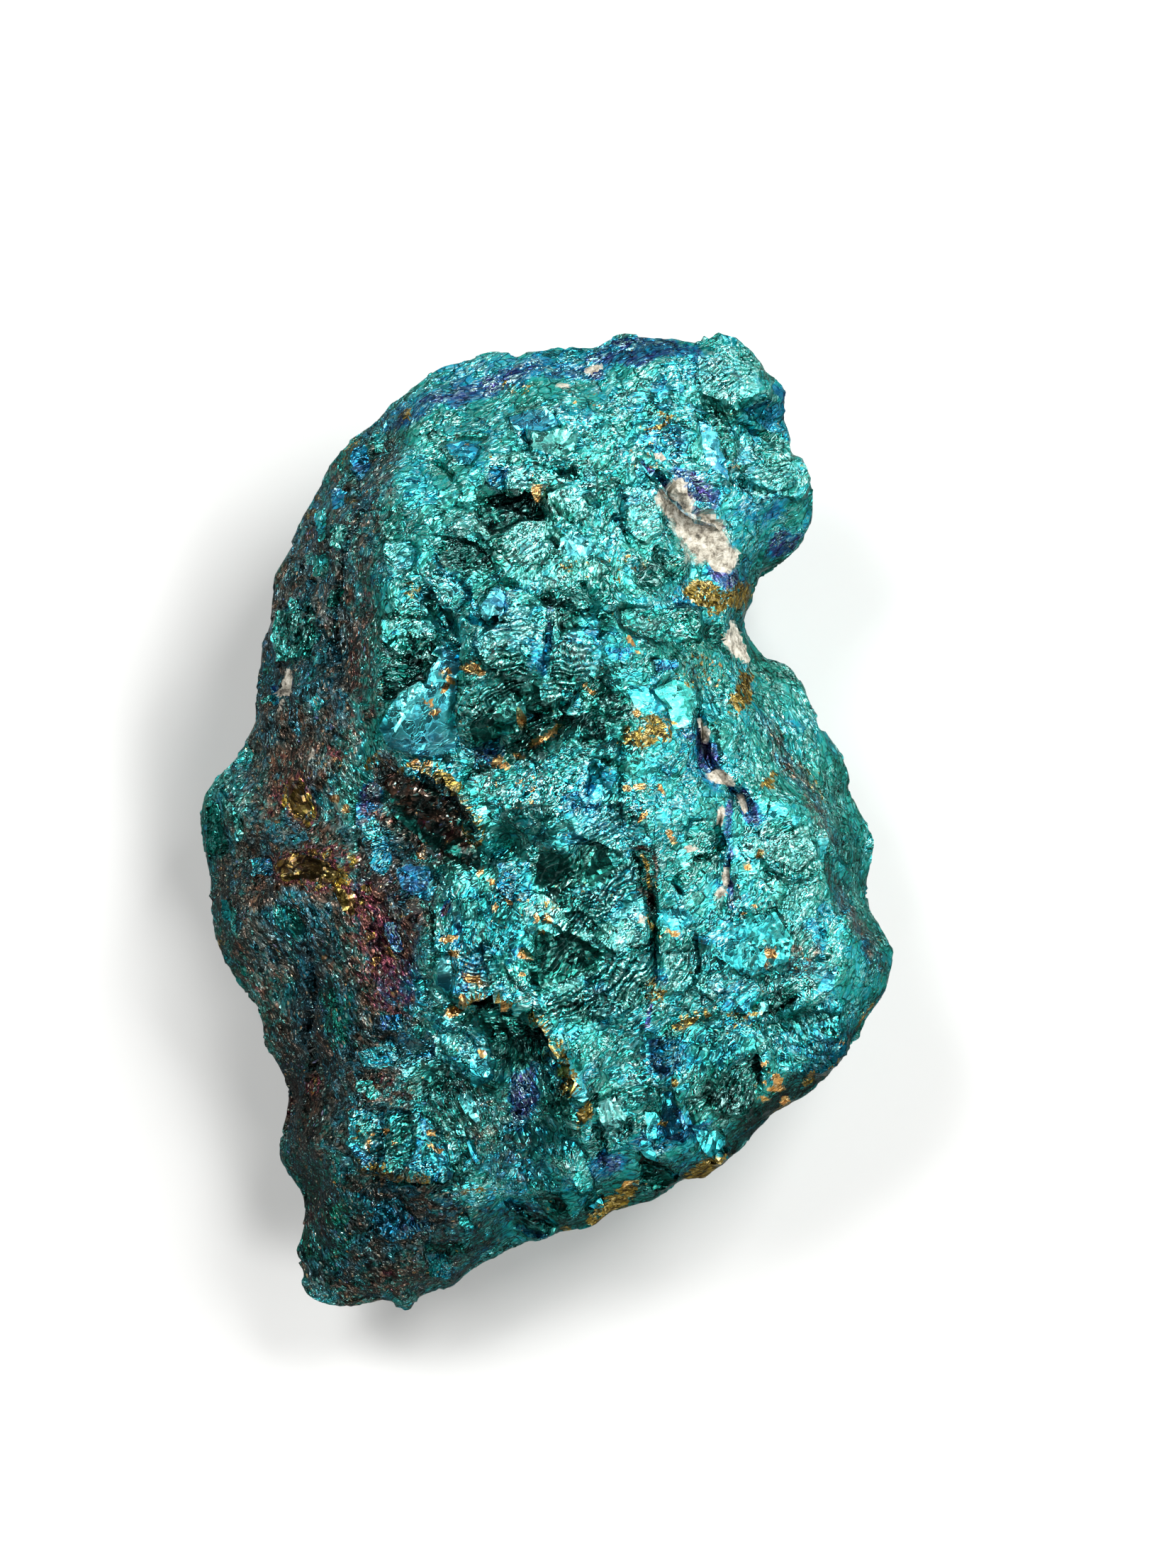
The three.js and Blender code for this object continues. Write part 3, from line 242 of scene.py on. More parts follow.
# Where long ribs run like crumpled foil: x, y, radius, the way they run in degrees, spacing.
RIBS = [
    (-2.2, 8.4, 3.2, 25, 0.75), (1.9, 9.6, 2.6, 35, 0.75), (3.2, -6.4, 5.6, 42, 0.8),
    (1.6, 16.0, 4.2, 60, 0.9), (10.2, 22.0, 6.0, 28, 0.9), (10.6, -7.0, 5.4, 55, 1.0),
    (9.4, -15.4, 4.4, 65, 0.8), (-8.4, -17.8, 4.0, 35, 0.8), (3.6, 21.0, 4.6, 20, 1.0),
    (-12.4, -8.0, 7.0, 115, 0.9), (-12.8, 4.0, 5.0, 118, 0.9), (-13.0, 12.0, 6.0, 92, 0.9),
    (-0.6, -14.0, 3.0, 95, 0.55), (-4.4, -16.6, 3.4, 112, 0.7), (-0.6, -18.6, 3.4, 100, 0.6),
    (14.6, 4.6, 4.0, -55, 0.9), (-3.4, -6.0, 3.6, 75, 0.8), (1.2, 2.0, 4.4, 38, 0.9),
    (-10.0, -24.0, 5.0, 110, 0.8), (15.0, -12.0, 3.6, -45, 0.7),
]

# Where the foil is crumpled into thin ribs over dark green, their tops painted pale as highlights and
# their feet painted dark as shade: x, y, half-length, half-width, turn, strength, and the place that
# the ribs run round.
FOIL_FIELDS = [
    (-2.3, 10.4, 1.9, 1.3, 60, 0.8, (-1.3, 6.6)), (-1.9, 8.9, 1.8, 1.2, 20, 1.0, (-1.3, 6.6)),
    (-2.4, 7.5, 2.0, 0.9, 30, 1.0, (4.3, -2.2)), (-3.0, 6.6, 1.8, 0.9, 30, 0.9, (4.0, -3.0)),
    (1.6, 9.2, 1.7, 1.6, 80, 1.0, (1.0, 3.4)), (0.9, 7.9, 1.6, 0.8, 30, 0.8, (0.6, 3.0)),
    (0.9, -2.6, 1.8, 1.2, 40, 0.9, (8.9, -11.5)), (4.2, -3.2, 2.6, 1.0, 45, 1.0, (12.6, -11.6)),
    (2.6, -5.0, 2.4, 1.2, 40, 0.9, (10.3, -14.2)), (1.2, -7.4, 1.6, 1.3, 30, 0.5, (7.4, -17.6)),
    (4.5, -8.5, 3.2, 1.5, 52, 1.0, (13.8, -16.3)), (1.6, -10.0, 2.2, 0.9, 20, 1.0, (6.7, -20.9)),
    (3.4, -0.4, 2.0, 1.2, 30, 0.8, (9.6, -10.8)), (-0.6, 15.0, 2.4, 1.3, -20, 0.5, (5.4, 4.6)),
    (10.4, 25.4, 2.6, 1.5, 10, 0.5, (16.0, 14.8)), (13.0, 19.6, 2.0, 1.3, 0, 0.6, (16.0, 9.0)),
    (13.7, -1.6, 1.9, 1.8, 0, 0.5, (23.5, -8.4)), (7.6, -8.2, 1.3, 0.9, 60, 0.8, (18.0, -14.2)),
    (4.6, 17.4, 2.0, 1.8, 0, 0.3, (15.0, 11.4)), (-5.2, 14.9, 1.5, 0.9, 40, 0.4, (2.5, 5.7)),
    (-13.9, 11.3, 1.4, 0.9, 90, 0.6, (-1.9, 11.7)), (-17.9, 0.8, 2.6, 0.8, 100, 0.7, (-6.1, 2.9)),
    (-8.4, -17.6, 2.4, 1.6, 35, 0.7, (-1.5, -27.4)), (10.7, -15.0, 1.6, 1.2, 65, 0.5, (21.6, -20.1)),
    (3.6, -17.0, 1.8, 1.2, 60, 0.7, (14.0, -23.0)), (-0.6, -22.4, 1.8, 0.8, -30, 0.8, (5.4, -12.0)),
    (14.4, -4.6, 1.5, 1.3, 55, 0.4, (24.2, -11.4)), (-4.4, -12.6, 1.6, 1.1, 70, 0.4, (6.9, -16.7)),
    (9.4, 7.4, 1.8, 1.0, -60, 0.5, (-1.0, 1.4)), (-3.4, -8.0, 1.6, 1.4, 80, 0.6, (-2.9, 40.0)),
]

# Flat plates where the ore split clean, seen from above. Each faces its own way: the way it faces,
# in degrees round from the right-hand side, and how far it leans over; how far it stands out; its
# film (None keeps what is there); its tone, where below 1 is darker with oxide and painted shade,
# down to black at 0, 1 is clean, and above 1 is a painted highlight, pale at 1.3; and its corners.
PLATES = [
    # the high field, from the far left to the notch
    (45, 25, 0.1, None, 1.15, [(-6.4, 21.9), (-5.6, 21.9), (-5.3, 21.3), (-6.0, 21.0)]),
    (250, 20, -0.23, GREEN, 0.57, [(-5.0, 22.1), (-3.0, 21.9), (-3.2, 21.4), (-4.2, 21.55), (-5.0, 21.6)]),
    (220, 18, -0.2, 0.52, 0.71, [(-2.9, 20.2), (-2.0, 20.0), (-1.9, 18.8), (-2.6, 18.7), (-3.1, 19.3)]),
    (45, 27, 0.1, 0.70, 1.2, [(-2.0, 20.0), (-1.0, 20.1), (-0.9, 19.2), (-1.2, 18.7), (-2.0, 18.9)]),
    (250, 23, -0.32, GREEN, 0.54,
     [(-2.9, 18.0), (-2.0, 18.6), (-0.1, 18.3), (0.1, 17.1), (-1.0, 17.1), (-2.0, 17.8)]),
    (230, 20, 0, GREEN, 0.71,
     [(-3.8, 17.9), (-2.9, 18.0), (-2.0, 17.7), (-1.0, 17.0), (-2.9, 16.5), (-3.6, 17.0)]),
    (45, 20, 0, 0.74, 1.2,
     [(-2.2, 16.2), (-1.3, 16.8), (0.1, 16.9), (0.9, 16.0), (0.6, 15.0), (-0.8, 14.3), (-2.0, 15.0)]),
    (60, 18, 0, 0.77, 1.1,
     [(-0.8, 14.3), (0.6, 15.0), (2.6, 15.0), (3.9, 14.2), (2.8, 13.8), (0.0, 13.1), (-1.8, 13.8)]),
    (235, 18, -0.16, GREEN, 0.58,
     [(-6.0, 15.5), (-4.6, 16.2), (-3.9, 15.8), (-3.0, 14.8), (-4.2, 14.2), (-5.4, 14.0)]),
    (50, 25, 0.1, 0.74, 1.25,
     [(-4.9, 16.8), (-3.6, 16.9), (-2.6, 15.4), (-3.1, 15.2), (-3.9, 15.8), (-4.7, 16.1)]),
    (30, 26, 0, 0.74, 1.2, [(0.2, 18.6), (2.0, 19.0), (2.9, 18.0), (2.2, 17.0), (0.6, 17.4)]),
    (20, 12, -0.1, 0.84, 0.76, [(2.8, 19.4), (3.2, 20.2), (4.6, 19.9), (4.5, 18.7), (3.2, 18.2)]),
    (45, 26, 0, 0.74, 1.1, [(4.6, 18.8), (6.2, 19.4), (6.6, 18.0), (6.6, 16.6), (5.6, 15.8), (4.6, 16.6)]),
    (210, 12, 0, GREEN, 0.78, [(5.4, 14.6), (6.8, 14.4), (7.0, 13.6), (6.0, 13.1), (5.2, 13.8)]),
    (200, 20, 0, 0.88, 0.75, [(6.3, 15.0), (7.9, 15.1), (8.1, 14.2), (7.2, 13.9)]),
    (20, 20, 0, 0.74, 0.96, [(-9.0, 15.6), (-8.0, 15.7), (-7.2, 15.5), (-7.3, 14.3), (-8.8, 14.2)]),
    # the split face with the ribbed lumps
    (30, 22, 0, 0.68, 1.1, [(-6.3, 13.8), (-4.6, 13.6), (-4.1, 12.6), (-4.8, 12.0), (-5.9, 12.1)]),
    (0, 12, -0.1, 0.83, 0.84, [(-4.0, 13.4), (-2.9, 13.6), (-3.0, 13.0), (-3.5, 12.2), (-3.9, 12.3)]),
    (30, 24, 0.1, 0.76, 1.25,
     [(-3.9, 10.2), (-2.6, 11.0), (-1.9, 12.0), (-0.6, 12.2), (-0.9, 9.4), (-2.3, 8.6), (-3.2, 9.0)]),
    (240, 15, 0, 0.88, 0.71, [(-2.2, 8.5), (-0.9, 9.0), (0.0, 8.0), (-0.9, 7.2), (-1.8, 7.2)]),
    (20, 16, 0, 0.77, 1.05,
     [(-4.1, 7.0), (-2.4, 8.0), (-1.8, 7.2), (-0.3, 7.3), (-1.3, 6.2), (-2.4, 6.4), (-3.8, 5.9)]),
    (20, 12, -0.1, 0.68, 0.85,
     [(-0.6, 12.4), (0.3, 12.5), (0.3, 10.8), (0.2, 9.2), (0.0, 8.2), (-0.5, 9.1), (-0.8, 10.3)]),
    (25, 24, 0.1, 0.72, 1.15, [(1.2, 10.9), (3.1, 10.8), (3.2, 9.4), (2.6, 8.2), (1.4, 8.6), (0.9, 9.8)]),
    (10, 18, 0, 0.78, 1, [(0.2, 9.8), (1.4, 9.2), (2.4, 8.1), (1.0, 7.2), (0.2, 7.6)]),
    (220, 14, -0.1, GREEN, 0.67, [(0.9, 11.9), (2.0, 11.9), (1.9, 11.1), (1.0, 10.8)]),
    (45, 26, 0.1, 0.78, 1.2, [(0.3, 11.8), (0.8, 12.0), (0.9, 11.2), (0.4, 10.9)]),
    (240, 23, -0.27, GREEN, 0.54, [(-0.2, 12.9), (0.3, 12.9), (1.3, 12.3), (0.8, 12.1), (0.1, 12.4)]),
    (250, 23, -0.23, GREEN, 0.54,
     [(-1.2, 6.3), (0.0, 6.9), (1.9, 7.5), (1.0, 6.9), (0.0, 6.2), (-0.9, 6.0)]),
    (20, 14, 0, 0.58, 0.92, [(-1.0, 6.0), (-0.4, 6.1), (-0.4, 5.5), (-0.9, 5.2)]),
    (200, 10, 0, 0.50, 0.71, [(-3.8, 4.5), (-2.2, 4.6), (-2.4, 3.4), (-3.9, 3.3)]),
    (30, 20, 0, 0.66, 1.1, [(1.0, 7.1), (2.5, 7.1), (2.3, 6.2), (1.2, 6.0)]),
    (230, 14, 0, GREEN, 0.71, [(2.0, 6.1), (3.3, 6.3), (3.4, 4.8), (2.6, 4.2), (2.0, 4.6)]),
    (240, 16, -0.18, GREEN, 0.58, [(-9.0, 9.0), (-6.7, 8.9), (-6.7, 7.7), (-7.7, 7.1), (-9.0, 7.1)]),
    (230, 15, 0, GREEN, 0.64, [(-7.8, 10.5), (-6.6, 10.5), (-6.0, 9.8), (-6.5, 9.1), (-7.8, 9.3)]),
    (45, 22, 0.1, 0.76, 1.1,
     [(-9.0, 11.4), (-7.6, 11.6), (-6.2, 11.3), (-6.0, 10.6), (-7.6, 10.7), (-9.0, 10.2)]),
    # the middle
    (60, 22, 0.1, 0.68, 1.15, [(-3.9, 1.0), (-3.2, 1.0), (-3.1, 0.2), (-3.7, -0.1)]),
    (0, 10, -0.1, 0.80, 0.64, [(-6.0, 1.0), (-5.2, 1.1), (-5.1, 0.0), (-5.9, 0.1)]),
    (45, 22, 0, 0.68, 1.1, [(2.0, 3.8), (2.9, 3.4), (3.4, 2.4), (3.2, 1.2), (2.0, 1.4)]),
    (20, 16, 0, 0.60, 0.88, [(3.1, 3.4), (4.2, 3.3), (4.2, 2.4), (3.5, 2.4)]),
    (45, 22, 0, 0.72, 1.05, [(5.1, 4.0), (6.2, 4.0), (6.3, 3.2), (5.2, 3.0), (4.8, 3.5)]),
    (220, 12, 0, 0.90, 0.78, [(3.6, 7.6), (4.6, 7.2), (4.5, 6.0), (3.5, 5.8)]),
    (30, 22, 0, 0.62, 1.1, [(3.4, 9.9), (5.2, 9.9), (4.6, 8.9), (3.6, 9.2)]),
    (220, 14, -0.1, 0.90, 0.64, [(3.1, 11.6), (4.0, 12.0), (4.1, 11.2), (3.2, 10.6)]),
    (210, 8, 0, 0.86, 0.78, [(4.3, 12.0), (8.6, 12.0), (8.8, 10.4), (6.6, 10.2), (4.4, 11.2)]),
    (200, 10, 0, 0.42, 0.78, [(6.1, 9.2), (7.4, 9.3), (7.6, 8.8), (6.4, 8.6)]),
    (220, 16, -0.21, 0.90, 0.60,
     [(9.0, 11.2), (10.0, 11.3), (10.5, 10.2), (10.6, 9.0), (10.0, 9.7), (9.2, 10.4)]),
    (250, 23, -0.23, GREEN, 0.54, [(9.0, 5.8), (9.8, 5.4), (9.9, 4.7), (9.3, 5.1)]),
    (0, 25, -0.1, 0.45, 0.71, [(8.8, 4.6), (9.6, 4.6), (9.8, 3.4), (9.2, 2.9), (8.7, 3.4)]),
    (45, 22, 0, 0.56, 1.1, [(7.7, 5.1), (8.6, 5.0), (8.2, 4.4)]),
    # the crumpled panel
    (40, 24, 0.1, 0.74, 1.1, [(1.6, 1.0), (4.2, 1.0), (4.4, -1.4), (3.2, -1.0), (1.8, -0.4)]),
    (215, 12, 0, 0.72, 0.78, [(1.0, -3.6), (2.3, -3.2), (2.9, -4.2), (1.6, -5.0), (0.6, -4.4)]),
    (50, 28, 0.2, 0.74, 1.25,
     [(-0.4, -3.9), (0.6, -4.2), (1.9, -5.4), (3.6, -6.7), (3.4, -7.2), (1.8, -6.2), (0.2, -5.2)]),
    (225, 16, 0, 0.66, 0.75, [(2.3, -8.6), (3.2, -8.2), (3.6, -9.2), (2.6, -9.8)]),
    (225, 16, 0, 0.90, 0.71, [(0.9, -9.8), (2.4, -9.8), (2.2, -10.6), (1.1, -10.5)]),
    (135, 26, 0.1, 0.75, 1.2,
     [(0.0, -9.6), (1.2, -8.8), (3.1, -8.1), (3.0, -8.4), (1.2, -9.3), (0.1, -10.0)]),
    (110, 24, 0.1, 0.75, 1.2,
     [(2.6, -10.6), (4.2, -9.0), (5.4, -7.0), (5.9, -6.6), (5.4, -9.0), (4.0, -10.8)]),
    (60, 24, 0.1, 0.75, 1.15, [(2.8, -6.2), (4.6, -4.4), (5.8, -3.9), (5.8, -5.4), (4.0, -7.0)]),
    (250, 13, -0.14, 0.90, 0.61,
     [(4.8, -1.3), (5.9, -1.4), (6.3, -2.8), (6.6, -3.6), (6.0, -3.8), (5.2, -3.3)]),
    # the panel left of it
    (60, 24, 0.1, 0.66, 1.2, [(-6.2, -9.5), (-5.0, -9.9), (-5.2, -10.3), (-6.2, -10.2)]),
    (20, 20, 0.1, 0.62, 1.05, [(-5.0, -5.6), (-4.7, -5.8), (-4.6, -6.8), (-5.0, -6.8)]),
    (10, 10, 0, 0.56, 0.84, [(-2.6, -2.2), (-0.7, -2.0), (-0.6, -4.0), (-1.4, -4.4), (-2.6, -3.6)]),
    (20, 12, 0, 0.80, 0.84, [(-3.1, -7.2), (-1.9, -7.2), (-1.9, -8.4), (-3.0, -9.2)]),
    (0, 14, 0, 0.58, 0.84, [(-4.6, -7.6), (-3.4, -6.9), (-3.2, -8.2), (-4.2, -9.4), (-5.0, -9.4)]),
    (250, 26, -0.32, GREEN, 0.54,
     [(-5.4, -9.6), (-4.2, -9.9), (-1.8, -10.0), (-2.4, -10.6), (-4.2, -10.4)]),
    (240, 12, 0, 0.93, 0.75,
     [(-3.2, -11.0), (-0.7, -10.4), (0.2, -11.8), (0.4, -13.6), (-1.0, -13.2), (-2.6, -12.6)]),
    (45, 20, 0.1, 0.70, 1.1,
     [(-5.6, -11.4), (-4.2, -10.9), (-3.2, -12.0), (-3.1, -14.2), (-4.2, -14.0), (-5.4, -12.6)]),
    # the right-hand field
    (45, 24, 0.1, 0.76, 1.2, [(6.9, -7.2), (8.3, -7.2), (8.4, -8.4), (7.8, -9.4), (6.9, -9.3)]),
    (220, 10, -0.1, 0.56, 0.71, [(6.2, -8.0), (6.9, -7.9), (6.9, -9.0), (6.3, -9.0)]),
    (30, 12, 0, 0.80, 0.92, [(8.2, 0.2), (9.4, 0.2), (9.6, -1.0), (8.8, -1.4), (8.1, -0.8)]),
    (45, 20, 0, 0.69, 1.05, [(10.2, -0.9), (11.9, -0.4), (12.6, -1.4), (11.2, -2.2), (10.7, -1.8)]),
    (50, 24, 0.1, 0.80, 1.2, [(12.6, -0.9), (14.8, 0.1), (15.3, -1.6), (14.2, -2.6), (12.9, -1.9)]),
    (45, 24, 0, 0.72, 1.1, [(13.4, -4.2), (15.2, -3.2), (15.4, -5.2), (14.3, -5.8), (13.3, -5.2)]),
    (45, 24, 0.1, 0.68, 1.2, [(9.0, -8.4), (9.9, -8.2), (10.1, -9.2), (9.2, -9.6), (8.8, -9.2)]),
    (230, 16, -0.21, GREEN, 0.61, [(11.8, -10.2), (14.0, -8.9), (14.3, -9.8), (12.9, -10.8)]),
    (200, 10, 0, 0.68, 0.8, [(13.0, -10.8), (16.8, -10.0), (16.6, -12.0), (13.4, -12.2)]),
    # the horn over the notch
    (220, 14, 0, 0.84, 0.78,
     [(9.2, 22.9), (10.2, 22.6), (11.0, 21.2), (10.6, 20.2), (10.1, 20.6), (9.9, 21.8)]),
    (45, 25, 0, 0.70, 1.15, [(11.2, 22.0), (11.8, 21.0), (11.6, 20.4), (10.9, 20.4), (11.0, 21.3)]),
    (240, 20, -0.18, GREEN, 0.57, [(10.6, 20.2), (11.9, 20.6), (11.2, 19.9), (10.7, 19.8)]),
    (40, 20, 0.1, 0.70, 1.15,
     [(11.4, 20.3), (13.0, 20.4), (14.6, 20.6), (15.2, 19.6), (14.6, 18.6), (12.4, 18.4), (11.2, 19.2)]),
    (250, 23, -0.07, 0.56, 0.60,
     [(11.2, 23.4), (12.2, 23.8), (13.8, 23.9), (14.4, 22.8), (14.0, 21.6), (13.2, 21.9), (12.2, 22.6)]),
    (45, 22, 0, 0.72, 1.15, [(8.6, 26.4), (12.0, 26.2), (12.2, 24.4), (10.6, 23.6), (9.0, 24.3)]),
    (230, 14, 0, 0.88, 0.78, [(9.0, 24.0), (10.4, 23.4), (11.2, 23.2), (10.6, 22.7), (9.2, 23.4)]),
    # the left flank
    (45, 20, 0.1, 0.78, 1.15, [(-12.1, 16.9), (-11.3, 16.9), (-10.9, 16.3), (-11.5, 15.3), (-12.0, 15.7)]),
    (40, 16, 0.1, 0.76, 1, [(-13.1, 17.6), (-12.4, 17.9), (-12.3, 16.2), (-12.8, 15.9)]),
    (45, 18, 0, 0.75, 1.05, [(-13.6, 15.3), (-13.2, 15.4), (-13.1, 14.8), (-13.5, 14.7)]),
    (45, 20, 0, 0.76, 0.9, [(-13.2, 15.0), (-12.3, 15.3), (-12.2, 14.1), (-13.0, 14.0)]),
    (50, 22, 0.1, 0.75, 1.2, [(-14.5, 12.7), (-13.9, 12.7), (-13.9, 12.0), (-14.4, 12.0)]),
    (45, 18, 0, 0.90, 0.71,
     [(-15.2, 12.1), (-13.2, 12.0), (-12.4, 10.6), (-13.0, 9.6), (-15.2, 9.2), (-15.5, 10.6)]),
    (45, 20, 0.1, 0.73, 1.1, [(-14.4, 11.9), (-14.0, 11.9), (-13.9, 10.6), (-14.3, 10.2)]),
    (45, 20, 0.1, 0.62, 1.1, [(-13.9, 12.0), (-13.6, 12.0), (-13.5, 11.3), (-13.8, 11.4)]),
    (45, 20, 0.1, 0.74, 1, [(-13.1, 10.9), (-12.6, 10.8), (-12.5, 10.2), (-13.0, 10.2)]),
    (30, 20, 0.1, 0.75, 1.1, [(-15.3, 9.7), (-14.9, 9.5), (-14.9, 9.1), (-15.2, 9.2)]),
    (50, 20, 0, 0.70, 0.9, [(-16.9, 8.0), (-16.5, 7.9), (-16.3, 6.6), (-16.9, 6.3)]),
    (45, 20, 0.1, 0.72, 1.2, [(-16.1, 7.0), (-15.4, 7.5), (-15.3, 7.1), (-15.9, 6.7)]),
    (230, 20, -0.2, 0.46, 0.62, [(-15.5, 7.9), (-15.0, 7.8), (-15.0, 6.9), (-15.4, 6.8)]),
    (30, 16, 0, 0.46, 0.9, [(-12.0, 18.9), (-11.1, 18.9), (-11.2, 17.9), (-11.9, 17.8)]),
    (30, 12, 0, 0.50, 0.7, [(-11.0, 21.0), (-10.1, 21.6), (-9.9, 20.2), (-10.5, 19.4), (-11.0, 19.8)]),
    (40, 18, 0, 0.76, 0.95, [(-9.8, 22.2), (-9.0, 22.3), (-8.9, 21.0), (-9.6, 20.9)]),
    (40, 20, 0.1, 0.60, 1.1, [(-9.2, 23.0), (-8.7, 22.9), (-8.8, 22.3), (-9.2, 22.4)]),
    (230, 13, -0.21, GREEN, 0.55, [(-12.0, 13.2), (-11.4, 13.4), (-11.4, 12.4), (-12.1, 12.1)]),
    (45, 20, 0.1, 0.76, 1.15, [(-8.9, 15.9), (-7.6, 15.6), (-7.4, 14.4), (-8.2, 13.9), (-8.9, 14.4)]),
    (45, 18, 0, 0.72, 0.8, [(-17.9, 5.0), (-16.9, 4.8), (-16.4, 3.9), (-16.9, 3.2), (-17.9, 3.5)]),
    (50, 20, 0.1, 0.74, 1.2, [(-18.3, 4.0), (-17.9, 3.9), (-17.7, 2.6), (-18.1, 2.7)]),
    (50, 20, 0.1, 0.76, 1.3, [(-17.6, 2.5), (-17.3, 2.4), (-17.3, 1.7), (-17.7, 1.8)]),
    (50, 20, 0.1, 0.76, 1.25,
     [(-18.4, 1.9), (-18.1, 1.7), (-17.1, 0.3), (-17.1, -0.8), (-17.6, -0.8), (-17.6, 0.3)]),
    (180, 10, 0, 0.93, 0.71, [(-19.3, 1.0), (-18.4, 1.2), (-18.0, -1.6), (-19.3, -2.0)]),
    (40, 14, 0, 0.56, 0.9, [(-16.8, -2.0), (-15.6, -1.9), (-15.3, -2.8), (-16.6, -3.0)]),
    (45, 22, 0.1, 0.75, 1.15, [(-17.9, -4.6), (-17.5, -4.8), (-17.4, -6.2), (-17.8, -6.0)]),
    (45, 20, 0, 0.76, 1, [(-18.6, -7.5), (-18.2, -7.6), (-18.1, -8.2), (-18.4, -8.3)]),
    (45, 20, 0, 0.76, 1, [(-17.4, -8.1), (-16.9, -8.2), (-16.9, -8.7), (-17.3, -8.6)]),
    (45, 14, 0, 0.80, 0.67, [(-15.3, -4.4), (-14.0, -4.8), (-13.4, -6.0), (-13.8, -6.6), (-15.2, -5.6)]),
    (40, 16, 0, 0.72, 0.85, [(-10.1, 0.2), (-9.2, 0.3), (-9.1, -0.7), (-9.8, -1.0)]),
    (20, 12, 0, 0.62, 0.62, [(-9.6, -0.9), (-8.8, -0.6), (-8.5, -2.2), (-9.0, -3.0), (-9.6, -2.6)]),
    (30, 14, 0, 0.44, 0.75, [(-8.3, -2.3), (-6.4, -2.2), (-6.0, -3.4), (-6.6, -4.4), (-8.0, -3.6)]),
    (40, 20, 0.1, 0.47, 1.1, [(-9.0, -5.5), (-8.3, -5.4), (-7.9, -7.0), (-8.5, -7.1)]),
    (40, 16, 0, 0.54, 0.75, [(-9.2, -10.6), (-8.1, -10.6), (-8.0, -11.4), (-9.1, -11.6)]),
    (40, 18, 0, 0.60, 0.95, [(-10.6, -12.7), (-8.6, -12.2), (-8.0, -13.1), (-9.0, -13.7), (-10.3, -13.6)]),
    (40, 20, 0, 0.70, 0.95, [(-7.4, -11.2), (-6.9, -11.2), (-6.6, -12.0), (-7.1, -12.1)]),
    (40, 18, 0, 0.64, 0.8, [(-7.3, -8.7), (-6.6, -8.8), (-6.5, -10.2), (-7.2, -10.0)]),
    # the near lobe
    (50, 22, 0, 0.75, 1.2,
     [(-6.2, -11.8), (-4.4, -11.7), (-3.9, -12.4), (-4.2, -13.8), (-5.2, -13.5), (-6.1, -12.9)]),
    (45, 18, 0.2, 0.66, 0.95,
     [(-11.0, -16.2), (-9.1, -16.1), (-8.8, -17.6), (-9.0, -19.6), (-10.2, -19.2), (-11.0, -18.0)]),
    (30, 14, 0.15, 0.80, 0.75, [(-8.9, -16.2), (-7.6, -16.3), (-7.2, -18.4), (-7.8, -19.4), (-8.9, -19.6)]),
    (20, 14, 0.15, 0.60, 0.8,
     [(-7.0, -16.3), (-6.0, -17.0), (-5.3, -18.0), (-5.0, -19.9), (-7.6, -19.7), (-7.1, -18.4)]),
    (45, 18, 0.1, 0.73, 0.85,
     [(-10.7, -14.3), (-9.8, -14.4), (-9.2, -15.3), (-9.6, -15.6), (-10.6, -15.0)]),
    (30, 12, 0.1, 0.55, 0.62,
     [(-9.5, -21.4), (-8.2, -21.2), (-7.0, -22.9), (-7.6, -23.5), (-8.8, -23.6), (-9.8, -22.3)]),
    (45, 18, 0.1, 0.62, 0.71, [(-10.8, -20.6), (-10.2, -20.9), (-9.5, -21.8), (-10.0, -21.9)]),
    (45, 22, 0.1, 0.73, 1.15, [(-5.0, -22.3), (-4.5, -22.2), (-4.0, -23.0), (-4.5, -23.0)]),
    (20, 16, 0.1, 0.66, 0.76, [(-6.8, -24.6), (-5.8, -24.4), (-5.3, -25.2), (-5.4, -26.0), (-6.5, -25.9)]),
    (240, 16, -0.14, GREEN, 0.55,
     [(-6.8, -23.9), (-4.9, -23.8), (-4.0, -24.2), (-5.2, -24.5), (-6.7, -24.4)]),
    (240, 16, -0.21, GREEN, 0.54,
     [(-10.0, -19.6), (-8.4, -20.0), (-5.0, -20.0), (-5.3, -20.4), (-8.4, -20.5)]),
    (60, 22, 0.2, 0.74, 1,
     [(-2.1, -21.3), (-1.3, -21.6), (-0.5, -22.5), (0.9, -23.1), (0.2, -23.3), (-0.8, -22.8)]),
    (50, 16, 0.1, 0.54, 0.7, [(-1.6, -22.8), (-0.6, -23.2), (0.9, -23.5), (0.9, -23.9), (-0.8, -23.6)]),
    (200, 8, 0, GREEN, 0.58, [(-0.6, -21.2), (0.8, -21.0), (1.6, -22.4), (1.0, -22.8), (0.0, -22.2)]),
    (10, 12, 0, 0.86, 0.75, [(0.5, -15.0), (1.6, -15.0), (1.9, -16.0), (1.6, -16.8), (0.6, -16.4)]),
    (45, 20, 0.1, 0.72, 0.95,
     [(1.1, -17.8), (1.8, -17.9), (2.4, -19.2), (2.8, -20.8), (2.2, -20.9), (1.3, -19.4)]),
    # the near right
    (50, 20, 0.1, 0.75, 1.1, [(2.7, -17.1), (4.8, -16.9), (4.6, -18.1), (3.6, -18.4), (2.9, -17.9)]),
    (240, 20, -0.21, GREEN, 0.54, [(1.2, -17.1), (2.1, -17.2), (2.0, -17.7), (1.3, -17.6)]),
    (240, 20, -0.21, GREEN, 0.55, [(2.7, -14.9), (3.2, -15.1), (3.1, -15.9), (2.7, -15.9)]),
    (240, 20, -0.28, GREEN, 0.54,
     [(5.4, -18.6), (6.6, -19.0), (7.8, -19.5), (7.6, -19.8), (6.2, -19.5), (5.4, -19.2)]),
    (45, 10, 0, 0.93, 0.8,
     [(9.6, -14.6), (10.6, -13.7), (12.0, -13.1), (12.1, -14.6), (11.6, -16.4), (10.2, -16.4),
      (9.4, -15.8)]),
